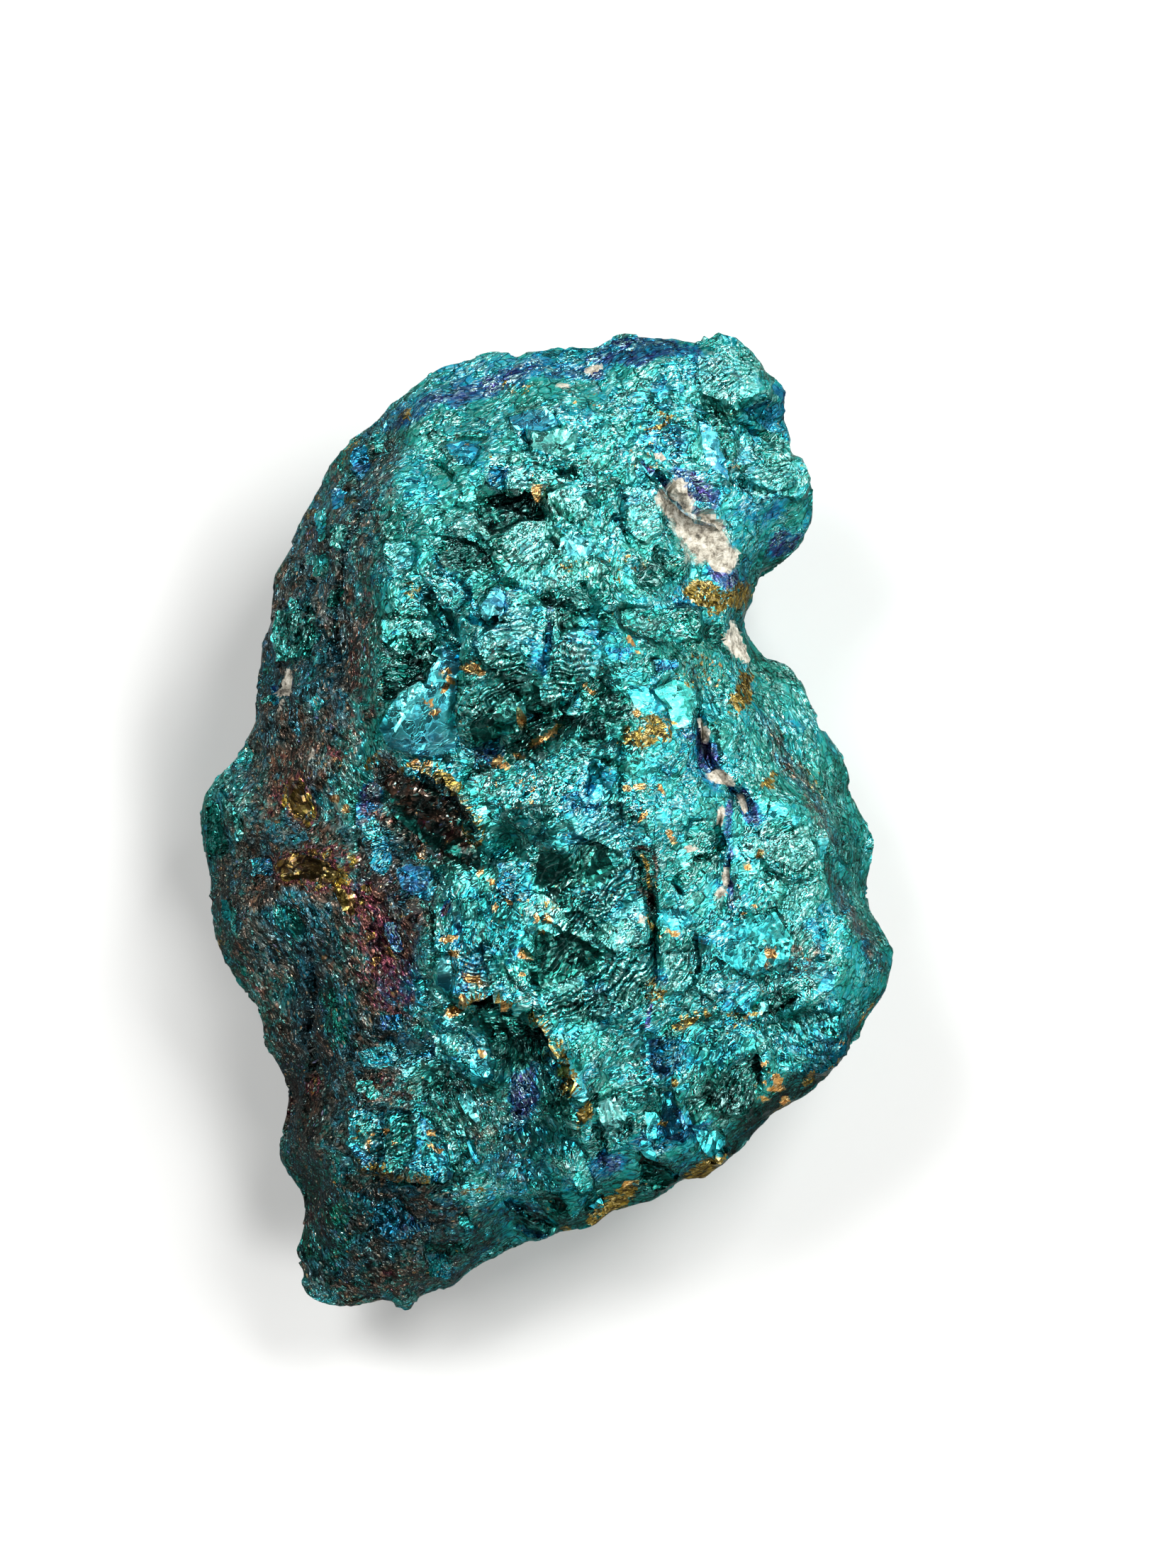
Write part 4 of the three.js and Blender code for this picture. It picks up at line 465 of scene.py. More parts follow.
    (210, 10, 0, GREEN, 0.67, [(8.1, -15.7), (9.3, -15.4), (9.2, -16.6), (8.3, -16.9)]),
    (50, 22, 0.1, 0.73, 1.2, [(10.4, -13.7), (10.9, -13.8), (10.8, -14.3), (10.4, -14.4)]),
    (30, 10, 0, 0.68, 0.85,
     [(12.6, -11.4), (14.4, -10.6), (17.0, -11.0), (17.2, -13.2), (15.6, -14.2), (13.2, -13.8)]),
    (230, 16, -0.21, GREEN, 0.55, [(10.8, -10.5), (11.5, -10.6), (11.4, -11.2), (10.8, -11.2)]),
    (230, 16, -0.21, GREEN, 0.54, [(11.8, -11.0), (12.3, -11.0), (12.3, -11.6), (11.9, -11.6)]),
    (225, 14, 0, 0.56, 0.67, [(6.0, -12.1), (7.4, -11.9), (7.6, -13.6), (6.6, -14.2), (6.0, -13.4)]),
    (220, 14, 0, 0.52, 0.62, [(6.4, -14.8), (7.2, -15.0), (8.0, -16.6), (7.8, -18.0), (6.8, -17.6)]),
    (210, 10, 0, GREEN, 0.62, [(5.6, -19.4), (6.8, -19.7), (7.6, -20.3), (6.4, -20.9), (5.6, -20.8)]),
]

# Plates that broke smooth, with no crumples of their own: the same values as above.
SLEEK_PLATES = [
    (40, 22, 0, 0.60, 1, [(-5.6, 21.2), (-4.4, 21.5), (-3.7, 21.0), (-4.0, 20.2), (-4.7, 20.2)]),
    (60, 18, 0, 0.58, 1.05,
     [(-2.0, 22.8), (-1.0, 23.2), (0.3, 23.2), (0.9, 22.5), (-0.1, 22.1), (-1.6, 22.1)]),
    (40, 14, 0, 0.80, 1.15,
     [(-0.6, 21.9), (1.0, 22.2), (2.0, 21.8), (1.8, 21.0), (0.6, 20.7), (-0.5, 21.0)]),
    (35, 23, 0.1, 0.67, 1.15, [(0.9, 16.0), (2.4, 16.3), (3.2, 15.4), (2.6, 15.0), (0.6, 15.0)]),
    (45, 20, 0.15, 0.62, 1.15,
     [(-3.5, 12.1), (-3.0, 13.1), (-2.4, 13.4), (-2.1, 12.8), (-2.2, 11.8), (-2.8, 11.3), (-3.4, 11.5)]),
    (50, 22, 0, 0.64, 1.15, [(-4.2, 11.9), (-3.6, 11.8), (-3.6, 11.1), (-4.2, 11.2)]),
    (240, 20, 0, GREEN, 0.78, [(-4.0, 5.7), (-2.3, 6.4), (-2.0, 5.6), (-2.6, 4.9), (-3.7, 4.6)]),
    (30, 16, 0.1, 0.62, 1.1,
     [(-6.4, 9.0), (-5.9, 9.9), (-5.1, 9.8), (-4.5, 9.0), (-4.5, 7.7), (-6.4, 7.9)]),
    (30, 9, 0.1, 0.64, 1.1,
     [(-6.9, 8.1), (-4.5, 7.9), (-4.7, 6.2), (-4.9, 4.4), (-5.8, 3.9), (-7.2, 4.0), (-8.7, 4.4),
      (-9.0, 5.4), (-8.7, 6.6), (-7.8, 7.5)]),
    (230, 20, -0.1, 0.97, 0.8,
     [(-8.8, 2.4), (-7.4, 2.7), (-6.2, 2.1), (-5.0, 0.8), (-4.0, -1.0), (-3.6, -2.1), (-5.2, -1.6),
      (-6.6, -1.1), (-8.2, 0.4)]),
    (30, 20, 0, 0.65, 1.1, [(4.8, 7.8), (6.2, 7.6), (6.9, 6.6), (5.8, 6.1), (5.0, 6.6)]),
    (45, 18, 0.1, 0.79, 1.15,
     [(6.2, 7.6), (7.4, 8.2), (8.4, 7.8), (8.6, 6.6), (8.2, 5.6), (7.2, 5.2), (7.0, 6.4)]),
    (225, 16, -0.1, 0.94, 0.66, [(-0.2, -1.7), (1.6, -1.5), (2.0, -3.0), (0.6, -3.9), (-0.5, -3.3)]),
    (225, 16, -0.1, 0.93, 0.68, [(2.1, -1.1), (3.5, -1.2), (3.9, -2.5), (2.6, -3.3), (2.0, -2.2)]),
    (230, 14, -0.1, 0.97, 0.62,
     [(-0.4, -6.2), (1.5, -6.0), (2.8, -6.6), (3.3, -7.4), (2.4, -8.0), (0.8, -8.9), (-0.3, -9.4),
      (-0.5, -7.6)]),
    (30, 20, 0.1, 0.64, 1.2, [(-5.9, -7.5), (-5.2, -7.3), (-5.0, -8.2), (-5.2, -9.3), (-6.0, -9.1)]),
    (40, 16, 0, 0.66, 0.96, [(6.2, -4.6), (8.0, -4.8), (8.4, -5.4), (7.4, -6.1), (6.4, -5.6)]),
    (40, 16, 0, 0.69, 0.96,
     [(10.4, -5.6), (13.0, -4.9), (14.0, -6.4), (13.8, -7.6), (11.6, -8.4), (10.0, -7.6)]),
    (20, 18, 0, 0.58, 1.05, [(15.8, -8.4), (16.5, -8.0), (16.3, -9.2), (15.2, -9.6)]),
    (30, 20, 0, 0.61, 1.15,
     [(8.7, 22.6), (9.8, 22.0), (10.0, 21.0), (10.4, 20.0), (10.4, 19.2), (9.2, 20.2), (8.9, 21.2)]),
    (20, 14, 0, 0.52, 0.78, [(12.9, 25.2), (14.3, 25.2), (14.4, 24.0), (12.9, 24.2)]),
    (45, 20, 0, 0.66, 0.9, [(-18.4, -4.2), (-18.0, -4.2), (-17.9, -5.4), (-18.5, -5.3)]),
    (40, 18, 0.15, 0.66, 1.1,
     [(-3.9, -12.5), (-2.8, -12.6), (-2.7, -14.0), (-3.1, -14.7), (-3.8, -14.5), (-4.2, -13.6)]),
    (40, 20, 0.15, 0.66, 1.15,
     [(-4.9, -15.1), (-4.3, -15.1), (-3.9, -15.8), (-3.5, -16.9), (-3.9, -16.8), (-4.5, -16.0)]),
    (40, 18, 0.1, 0.60, 0.95, [(-4.4, -17.7), (-4.0, -17.9), (-3.7, -18.9), (-3.9, -19.2), (-4.2, -18.7)]),
    (30, 16, 0.1, 0.66, 1.1,
     [(1.0, -12.7), (1.5, -12.9), (2.0, -14.0), (2.4, -15.4), (1.9, -15.0), (1.1, -14.2)]),
    (50, 24, 0.15, 0.74, 1.3, [(3.1, -15.6), (4.0, -15.5), (4.7, -16.3), (4.2, -17.0), (3.2, -17.0)]),
    (45, 18, 0.1, 0.69, 0.95, [(5.7, -16.1), (6.4, -16.3), (6.4, -17.8), (5.8, -17.6)]),
    (30, 18, 0.1, 0.72, 1, [(5.5, -17.8), (6.0, -17.9), (6.4, -18.5), (6.1, -18.8), (5.5, -18.5)]),
    (45, 20, 0.1, 0.69, 1.1,
     [(8.2, -17.1), (9.2, -17.3), (10.0, -17.3), (10.1, -18.6), (10.7, -19.6), (9.8, -19.3), (8.9, -18.3)]),
    (30, 14, 0, 0.60, 1.15, [(2.6, -21.7), (3.2, -21.3), (3.3, -22.1), (2.8, -22.3)]),
    (50, 22, 0.1, 0.70, 1.15, [(12.1, -10.0), (12.8, -9.9), (12.6, -10.8), (12.1, -10.9)]),
    (180, 6, 0.05, 0.02, 0.36, [(-14.6, 2.4), (-13.6, 2.4), (-13.2, 0.9), (-13.5, 0.0), (-14.2, 0.6)]),
    (180, 4, 0.05, 0.02, 0.32,
     [(-15.2, -2.2), (-14.0, -1.6), (-12.6, -1.9), (-11.4, -2.9), (-12.2, -3.3), (-13.6, -3.0),
      (-14.9, -3.2)]),
    (30, 12, 0.1, 0.05, 0.6, [(-11.9, -3.4), (-11.3, -3.6), (-10.6, -5.0), (-10.9, -5.2), (-11.6, -4.4)]),
    (40, 10, 0.05, 0.17, 0.6, [(-11.3, -3.9), (-10.5, -3.7), (-10.1, -4.4), (-10.7, -4.8)]),
]

# Ledges, each a line with the high ground on its left as it runs: the height of the step, how far
# the high side stays raised, and how far the low side stays sunk.
LEDGES = [
    (0.9, 1.1, 1.3,
     [(-4.2, 4.3), (-3.0, 4.9), (-1.6, 6.0), (-0.3, 6.6), (1.0, 7.2), (2.3, 7.9), (3.7, 9.1)]),
    (0.6, 0.7, 1.0, [(-4.5, 10.4), (-4.4, 8.2), (-4.5, 6.2), (-4.4, 4.3)]),
    (0.9, 0.9, 1.4,
     [(-9.2, 3.3), (-7.4, 3.1), (-6.0, 2.7), (-4.9, 2.0), (-4.2, 0.6), (-3.7, -0.8), (-3.0, -2.2)]),
    (1.2, 1.0, 1.6,
     [(-6.3, -9.2), (-4.6, -9.9), (-2.9, -9.9), (-1.4, -10.2), (-0.4, -10.9), (0.3, -11.9), (1.0, -13.4),
      (1.7, -15.1), (2.4, -17.0)]),
    (0.6, 0.8, 0.8,
     [(-6.3, -11.4), (-5.8, -13.0), (-4.5, -13.9), (-3.7, -14.6), (-3.0, -14.1), (-2.75, -12.6),
      (-2.9, -11.0)]),
    (0.7, 1.0, 1.0, [(-10.6, -19.5), (-7.8, -19.9), (-5.1, -20.0), (-5.1, -18.4), (-5.9, -16.4)]),
    (0.6, 0.8, 0.9, [(-4.1, 18.2), (-2.2, 18.5), (-0.6, 18.6), (0.0, 17.9), (0.2, 16.9)]),
    (0.5, 0.8, 0.8, [(-5.9, 16.3), (-4.0, 16.5), (-2.9, 15.6), (-2.6, 14.0)]),
    (0.6, 0.8, 0.7, [(-0.3, 13.1), (0.6, 12.5), (1.4, 12.3), (2.6, 12.1), (4.1, 11.9)]),
    (0.6, 0.7, 0.7, [(5.6, 20.4), (6.8, 19.3), (8.0, 18.1), (9.3, 17.4), (10.4, 16.7)]),
    (0.5, 0.6, 0.6, [(5.2, -18.4), (6.7, -18.9), (8.1, -19.7)]),
    (0.5, 0.8, 0.8, [(0.6, -4.9), (1.9, -4.6), (2.9, -5.4), (4.0, -6.4)]),
    (0.5, 0.8, 0.9, [(-1.2, -6.3), (-0.4, -8.0), (-0.3, -9.6)]),
    (0.5, 0.8, 0.8, [(10.4, -12.9), (9.4, -14.6), (9.5, -16.4)]),
    (0.5, 0.8, 0.8, [(12.0, -1.2), (12.9, -2.6), (14.4, -3.2), (15.6, -2.6)]),
    (0.5, 0.8, 0.8, [(-9.2, 10.6), (-8.0, 9.4), (-6.6, 9.2), (-5.6, 10.0)]),
    (0.5, 0.8, 0.8, [(9.6, 20.9), (11.0, 19.6), (12.8, 18.9), (14.4, 19.2)]),
    (0.5, 0.8, 0.8, [(-17.4, 3.2), (-17.2, 1.0), (-17.4, -1.4)]),
    (0.5, 0.8, 0.8, [(-10.8, 1.8), (-9.8, -1.4), (-9.4, -4.4)]),
    (0.5, 0.8, 0.8, [(-13.6, 15.0), (-12.6, 11.6), (-13.0, 8.4)]),
]

# Raised ribs that catch the light, with a painted highlight along them: height, width and the places
# they run through.
CRESTS = [
    (0.25, 0.5, [(-2.8, 20.4), (-1.9, 20.5), (-1.2, 20.7)]),
    (0.25, 0.5, [(2.3, 20.2), (2.8, 19.4), (2.8, 18.4)]),
    (0.2, 0.4, [(0.1, -9.9), (1.4, -9.85), (3.0, -9.5), (4.2, -8.6), (5.0, -7.0)]),
    (0.2, 0.35, [(0.0, -9.3), (1.0, -8.75), (2.2, -8.4), (3.2, -8.0)]),
    (0.2, 0.35, [(2.0, -10.9), (3.4, -10.3), (4.6, -9.2), (5.5, -7.8)]),
    (0.2, 0.35, [(2.6, -11.6), (4.0, -11.0), (5.2, -9.6)]),
    (0.2, 0.35, [(2.4, -3.3), (3.6, -2.4), (4.8, -1.9)]),
    (0.2, 0.35, [(0.6, -4.0), (1.6, -2.9), (2.8, -1.9)]),
    (0.2, 0.4, [(8.1, -9.7), (8.6, -9.0), (8.95, -8.0)]),
    (0.3, 0.6, [(15.4, 0.1), (16.2, -1.6), (16.9, -2.6), (17.5, -3.9)]),
    (0.25, 0.5, [(-2.0, -21.2), (-1.0, -22.2), (0.0, -23.0), (1.0, -23.3)]),
    (0.2, 0.35, [(-2.2, 9.9), (-1.6, 10.1), (-1.0, 9.9)]),
    (0.2, 0.35, [(-2.4, 9.4), (-1.6, 9.6), (-0.9, 9.35)]),
    (0.2, 0.3, [(0.3, 9.0), (1.2, 9.15), (2.0, 8.9)]),
    (0.2, 0.3, [(0.3, 8.5), (1.2, 8.6), (2.1, 8.3)]),
    (0.2, 0.3, [(0.4, 8.0), (1.2, 8.1), (1.9, 7.9)]),
    (0.2, 0.3, [(-3.7, 6.2), (-2.8, 6.6), (-2.2, 7.0)]),
    (0.25, 0.35, [(-1.9, 5.95), (-0.1, 6.9), (1.7, 7.4), (2.8, 8.4)]),
    (0.2, 0.3, [(-2.9, -6.7), (-3.3, -8.0), (-3.6, -9.4)]),
    (0.2, 0.3, [(-2.8, -6.8), (-2.9, -8.2), (-2.9, -9.4)]),
    (0.2, 0.3, [(-2.7, -6.8), (-2.4, -8.0), (-2.2, -9.2)]),
    (0.2, 0.3, [(-2.6, -6.9), (-1.9, -8.0), (-1.4, -9.2)]),
    (0.2, 0.3, [(0.2, -6.5), (1.0, -5.8), (2.0, -5.4)]),
    (0.2, 0.3, [(3.9, -11.2), (4.8, -9.8), (5.6, -8.6)]),
    (0.2, 0.3, [(3.8, -7.6), (4.8, -6.4), (5.7, -5.4)]),
]

# Copper-coloured nuggets: x, y, half-length, half-width, turn.
NUGGETS = [
    (-0.45, 18.65, 0.36, 0.3, -60), (-1.25, 5.6, 0.4, 0.24, -70), (-2.75, 3.5, 0.36, 0.28, 80),
    (-2.2, 3.15, 0.3, 0.16, -30), (-0.3, 4.75, 0.6, 0.2, 30), (0.5, 5.2, 0.45, 0.2, 40),
    (-1.4, 4.0, 0.5, 0.14, -15), (-3.8, 8.75, 0.5, 0.28, -30), (-5.2, 7.8, 0.3, 0.2, -40),
    (-5.5, 7.45, 0.26, 0.17, 60), (-6.2, 6.7, 0.24, 0.14, 80), (-6.0, 6.2, 0.36, 0.2, 20),
    (-5.6, 8.3, 0.22, 0.13, -30), (-7.0, 3.7, 0.3, 0.2, 20), (-6.4, 3.5, 0.3, 0.15, 0),
    (4.9, 10.5, 0.4, 0.22, -40), (5.4, 9.7, 0.16, 0.12, 0), (5.0, 6.25, 0.2, 0.16, 0),
    (4.6, 2.3, 0.2, 0.15, 0), (5.3, 2.3, 0.3, 0.18, 0), (6.5, 2.1, 0.16, 0.16, 0), (2.8, 7.3, 0.25, 0.2, 0),
    (5.4, 0.5, 0.36, 0.2, 60), (6.9, -0.5, 0.2, 0.17, 0), (7.2, -0.95, 0.26, 0.15, -60),
    (12.35, -1.7, 0.22, 0.16, 40), (11.6, -2.2, 0.2, 0.15, 0), (11.1, -5.2, 0.2, 0.15, 0),
    (11.8, -4.8, 0.16, 0.12, 0), (12.7, -7.15, 0.42, 0.22, -10), (12.5, -7.8, 0.17, 0.14, 0),
    (7.1, -6.2, 0.42, 0.18, -30), (-3.65, -2.65, 0.3, 0.22, 60), (-2.9, -3.3, 0.32, 0.18, -40),
    (-1.75, -4.3, 0.24, 0.16, 0), (-2.55, -4.9, 0.24, 0.17, 60), (-0.3, -5.0, 0.26, 0.2, 70),
    (0.35, -5.1, 0.32, 0.2, -70), (0.0, -5.95, 0.2, 0.15, 0), (-1.1, -7.1, 0.27, 0.18, -30),
    (-1.3, -8.05, 0.22, 0.17, 0), (-3.8, -8.7, 0.5, 0.34, -20), (-4.8, -7.3, 0.27, 0.2, 0),
    (-4.5, -9.5, 0.26, 0.16, 0), (-2.5, -9.85, 0.5, 0.16, -5), (-5.0, -10.6, 0.4, 0.25, 20),
    (-6.75, -1.5, 0.42, 0.3, 60), (-5.1, -6.4, 0.4, 0.2, 10), (-3.55, -13.0, 0.24, 0.22, 0),
    (-9.9, -18.1, 0.3, 0.2, 60), (-9.7, -17.6, 0.2, 0.12, 60), (-8.9, -17.2, 0.2, 0.14, 0),
    (-6.2, -17.5, 0.2, 0.17, 0), (-6.15, -18.3, 0.2, 0.15, 0), (-5.8, -18.5, 0.25, 0.12, -20),
    (-9.3, -20.5, 0.22, 0.16, 60), (12.3, -13.4, 0.22, 0.18, 0), (13.1, -14.2, 0.34, 0.26, -60),
    (13.0, -14.9, 0.5, 0.28, 10), (12.3, -15.7, 0.34, 0.24, 0), (13.8, -15.6, 0.26, 0.18, 0),
    (13.2, -16.7, 0.36, 0.2, 40), (16.7, -12.4, 0.18, 0.14, 0), (16.5, -14.0, 0.2, 0.13, 0),
    (4.6, -20.4, 0.4, 0.22, 30), (-13.1, 3.0, 0.24, 0.18, 0), (-11.9, 3.5, 0.4, 0.26, 40),
    (-12.6, 2.3, 0.36, 0.16, 10), (-11.8, 1.5, 0.3, 0.2, -60), (-11.2, 0.9, 0.3, 0.22, 30),
    (-15.4, 3.4, 0.2, 0.16, 0), (-12.3, -7.5, 0.28, 0.2, 0), (-10.9, -4.1, 0.5, 0.24, 80),
    (-13.9, 6.8, 0.16, 0.12, 0), (-15.7, 5.1, 0.22, 0.12, 0),
]

# Narrow cracks: depth, width and the places they run through.
CRACKS = [
    (0.8, 0.27, [(-7.2, 13.7), (-6.4, 12.6), (-5.6, 11.3), (-4.9, 10.2), (-4.5, 8.6)]),
    (0.4, 0.24, [(0.35, 12.4), (0.3, 10.8), (0.15, 9.2), (0.0, 8.0)]),
    (0.55, 0.22, [(-4.6, 11.6), (-3.3, 11.1), (-2.6, 11.5), (-1.9, 11.3)]),
    (0.6, 0.24, [(-3.2, 13.8), (-1.9, 13.5), (-0.5, 13.1), (0.4, 12.8), (1.4, 12.4)]),
    (0.5, 0.22, [(1.9, 13.5), (2.9, 13.0), (4.1, 12.2)]),
    (0.45, 0.21, [(0.3, 18.5), (1.0, 17.6), (1.7, 17.1), (2.5, 16.0)]),
    (0.3, 0.2, [(5.0, -1.4), (5.4, -2.4), (5.5, -3.4)]),
    (0.2, 0.2, [(5.9, -3.4), (6.2, -4.6), (6.3, -5.6)]),
    (0.2, 0.2, [(6.0, -6.4), (5.8, -7.2)]),
    (0.2, 0.2, [(5.6, -8.4), (5.8, -9.6), (5.7, -10.6)]),
    (0.2, 0.16, [(4.3, 6.0), (4.35, 3.4), (4.2, 1.2), (4.4, -1.0)]),
    (0.45, 0.22, [(8.5, -5.9), (8.65, -7.4), (8.6, -8.2), (8.0, -9.5)]),
    (0.6, 0.24, [(12.0, -11.0), (13.1, -10.5), (14.5, -9.6)]),
    (0.4, 0.21, [(2.6, 3.6), (3.4, 3.7), (4.1, 3.5)]),
    (0.45, 0.24, [(12.0, -12.7), (12.1, -14.2), (11.9, -15.6)]),
    (0.35, 0.24, [(8.8, 5.8), (8.9, 5.4), (9.2, 3.8), (10.2, 2.4), (11.2, 1.4), (12.0, 0.1)]),
    (0.4, 0.22, [(10.0, 1.2), (9.7, -0.3), (10.3, -2.0), (10.3, -3.2), (9.7, -4.2)]),
    (0.5, 0.24, [(-6.2, -10.2), (-4.6, -10.4), (-3.0, -10.25), (-1.2, -10.4)]),
    (0.4, 0.22, [(-11.0, 21.0), (-10.4, 17.6), (-11.4, 14.0), (-11.8, 10.6), (-11.2, 7.4)]),
    (0.4, 0.21, [(-6.6, -4.2), (-6.2, -6.4), (-6.4, -8.6)]),
    (0.4, 0.21, [(9.0, 24.0), (10.4, 22.6), (12.0, 22.1), (13.4, 21.6)]),
    (0.4, 0.21, [(5.6, 20.3), (6.7, 19.2), (8.0, 18.0), (9.3, 17.3), (10.3, 16.7)]),
    (0.35, 0.19, [(-13.6, -6.0), (-13.0, -9.0), (-13.4, -12.0), (-12.8, -15.5)]),
    (0.35, 0.19, [(-6.4, 20.8), (-5.2, 19.6), (-4.4, 18.4)]),
    (0.35, 0.19, [(3.6, 19.6), (4.6, 18.4), (4.4, 16.8), (5.2, 15.2)]),
    (0.35, 0.19, [(2.6, -16.9), (3.4, -18.0), (3.2, -19.4)]),
    (0.35, 0.19, [(-8.9, -19.9), (-7.2, -20.3), (-5.2, -20.3)]),
    (0.6, 0.3, [(0.5, 20.1), (0.9, 19.7), (1.5, 19.8), (1.9, 19.3)]),
    (0.4, 0.2, [(-1.3, 22.0), (-1.0, 21.5), (-0.7, 20.9)]),
    (0.5, 0.22, [(0.0, 16.1), (0.4, 15.9), (0.9, 15.2)]),
    (0.6, 0.3, [(-7.1, 12.6), (-6.4, 12.2), (-5.7, 11.4), (-5.4, 10.6), (-4.9, 10.0)]),
    (0.25, 0.16, [(4.75, 6.6), (4.5, 5.4), (4.3, 4.0), (4.35, 2.8), (4.7, 2.2)]),
    (0.4, 0.2, [(2.5, 1.2), (2.6, 3.0), (2.9, 3.3), (3.3, 2.2)]),
    (0.6, 0.26, [(7.5, -2.6), (7.5, -3.4), (7.85, -4.1)]),
    (0.5, 0.24, [(8.4, -1.95), (9.0, -1.9), (9.6, -1.6)]),
    (0.5, 0.26, [(-5.0, -1.7), (-4.0, -2.1), (-3.1, -2.0)]),
    (0.4, 0.22, [(-3.6, -6.8), (-3.2, -6.65), (-2.8, -6.7)]),
    (0.4, 0.22, [(2.2, 18.6), (2.6, 18.0), (3.2, 17.9)]),
    (0.5, 0.28, [(3.9, 17.5), (4.2, 17.1)]),
    (0.4, 0.2, [(6.0, 15.6), (6.5, 15.3), (7.0, 15.2)]),
    (0.35, 0.2, [(2.0, 11.8), (3.2, 11.9), (4.0, 12.0)]),
    (0.4, 0.22, [(15.0, -7.6), (15.6, -7.7), (16.2, -7.6)]),
    (0.4, 0.22, [(15.5, -5.8), (15.8, -6.4)]),
]


# --- repeatable noise over points, in mm ---

# Where each use of the noise starts to draw its numbers, far enough apart that none draws another's.
WARP, JAGS, RIB_BENDS, RIB_FINE_BENDS, RIB_STRENGTHS = 200, 210, 300, 340, 380
CHIPS, FINE_CHIPS, SCOOPS = 410, 430, 450
RAGGED, FINE_RAGGED, FOIL_BENDS, FOIL_FINE_BENDS = 520, 530, 560, 570

NEIGHBOURS = np.array([(i, j, k) for i in (-1, 0, 1) for j in (-1, 0, 1) for k in (-1, 0, 1)])
CELL_CORNERS = np.array([(i, j, k) for i in (0, 1) for j in (0, 1) for k in (0, 1)])

TILT = 2.2  # how far a chip or scoop leans at the most, as rise over its width
BOWL = 1.3  # how deep a scoop is hollowed, over its width


def chance(cells, channel):
    """Repeatable numbers from 0 to 1 for whole-number cells, an array of rows of three."""
    mask = np.uint64(0xFFFFFFFF)
    i, j, k = ((cells[:, axis] & 0xFFFFFFFF).astype(np.uint64) for axis in range(3))
    h = (i * np.uint64(374761393) + j * np.uint64(668265263)) & mask
    h = (h + k * np.uint64(2147483629) + np.uint64(channel * 1274126177)) & mask
    h = ((h ^ (h >> np.uint64(13))) * np.uint64(1103515245)) & mask
    h = ((h ^ (h >> np.uint64(16))) * np.uint64(2246822519)) & mask
    return ((h ^ (h >> np.uint64(15))) & mask) / 4294967296.0


def near_seeds(points, size, channel, step):
    """For each of the cells round a point: how far it is from the cell's seed, squared and in cells,
    and how high the cell's own tilted plane is there."""
    grid = points / size
    home = np.floor(grid).astype(np.int64)
    for offset in NEIGHBOURS:
        cell = home + offset
        seed = np.stack([chance(cell, channel + n) for n in range(3)], axis=1)
        away = grid - cell - seed
        slope = np.stack([chance(cell, channel + 4 + n) for n in range(3)], axis=1) - 0.5
        plane = step * (chance(cell, channel + 3) - 0.5) + TILT * (slope * away).sum(axis=1)
        yield (away**2).sum(axis=1), plane


def chips(points, size, channel, step):
    """Flat tilted chips with steps between them, about -1 to 1 high."""
    nearest = np.full(len(points), np.inf)
    height = np.zeros(len(points))
    for distance, plane in near_seeds(points, size, channel, step):
        closer = distance < nearest
        nearest[closer] = distance[closer]
        height[closer] = plane[closer]
    return height


def scoops(points, size, channel):
    """Shallow scoops that meet in sharp ridges, the way brittle ore breaks."""
    height = np.full(len(points), np.inf)
    for distance, plane in near_seeds(points, size, channel, 1.0):
        height = np.minimum(height, plane + BOWL * distance)
    return height + 0.15  # brings the mean to about 0


def drift(points, size, channel):
    """Smooth noise from -1 to 1."""
    grid = points / size
    home = np.floor(grid).astype(np.int64)
    t = ease(grid - home)
    total = np.zeros(len(points))
    for corner in CELL_CORNERS:
        weight = np.prod(np.where(corner == 1, t, 1 - t), axis=1)
        total += weight * chance(home + corner, channel)
    return 2 * total - 1


def drifts(points, size, channel, count):
    """Smooth noise of several channels side by side."""
    return np.stack([drift(points, size, channel + n) for n in range(count)], axis=1)


def ease(t):
    """A smooth rise from 0 to 1 while t goes from 0 to 1."""
    t = np.clip(t, 0, 1)
    return t * t * (3 - 2 * t)


# --- the stone's mesh ---

GRAIN = math.radians(48)  # the way that the ore split, round from the right-hand side
GRAIN_STRETCH = 0.45  # how much longer the chips are that way

# Parts of the chip step: flat chips, smaller ones on them, and scoops, with each one's size over the
# chip size.
CHIP_SHARE, CHIP_JUMP = 0.8, 0.5
FINE_CHIP_SHARE, FINE_CHIP_SIZE, FINE_CHIP_JUMP = 0.3, 0.45, 0.6
SCOOP_SHARE, SCOOP_SIZE = 0.3, 1.7
SIDE_CHIPS, DULL_CHIPS = 1.8, 0.8  # how much higher the chips are on the sides and under the dust

FACET_SHARPNESS = 0.42  # how far two triangles' ways out may be apart to join into one facet
SNAP_SHARE, SNAP_LIMIT = 0.45, 0.17  # how far a point snaps: of its triangles' sides, and mm at the most
PLATE_FLATTENING = 0.6  # how much of the way to its plate's plane a point goes
FINE_HOLLOW, BROAD_HOLLOW = 0.25, 0.9  # mm that a full hollow is deep, across about 1 and 4 mm
FINE_ROUNDS, BROAD_ROUNDS = 10, 70  # of evening out, which hollows of those widths are measured from
SPLITS = 2  # how many times each CAD triangle is quartered
SIDE_EVENING, SIDE_ROUNDS = 0.8, 40  # how much of the sides' corners is evened away, and in how many rounds
# Painted shade on the near, steep sides: the share of the light that it takes there.
NEAR_SIDE_SHADE = 0.45  # share of the light that thick oxide takes on the near sides

# How far noise bends things from their drawn lines, in mm: the plates' edges, with finer jags, the
# chips and the long ribs, and the patches of colour; and the sizes of that noise.
EDGE_BEND, EDGE_JAG, CHIP_BEND, PATCH_BEND = 0.14, 0.1, 0.3, 0.35
BEND_SIZE, JAG_SIZE = 1.3, 0.45
RAGGEDNESS, FINE_RAGGEDNESS = 0.22, 0.16  # how ragged the patches' edges are, as a share of the patch


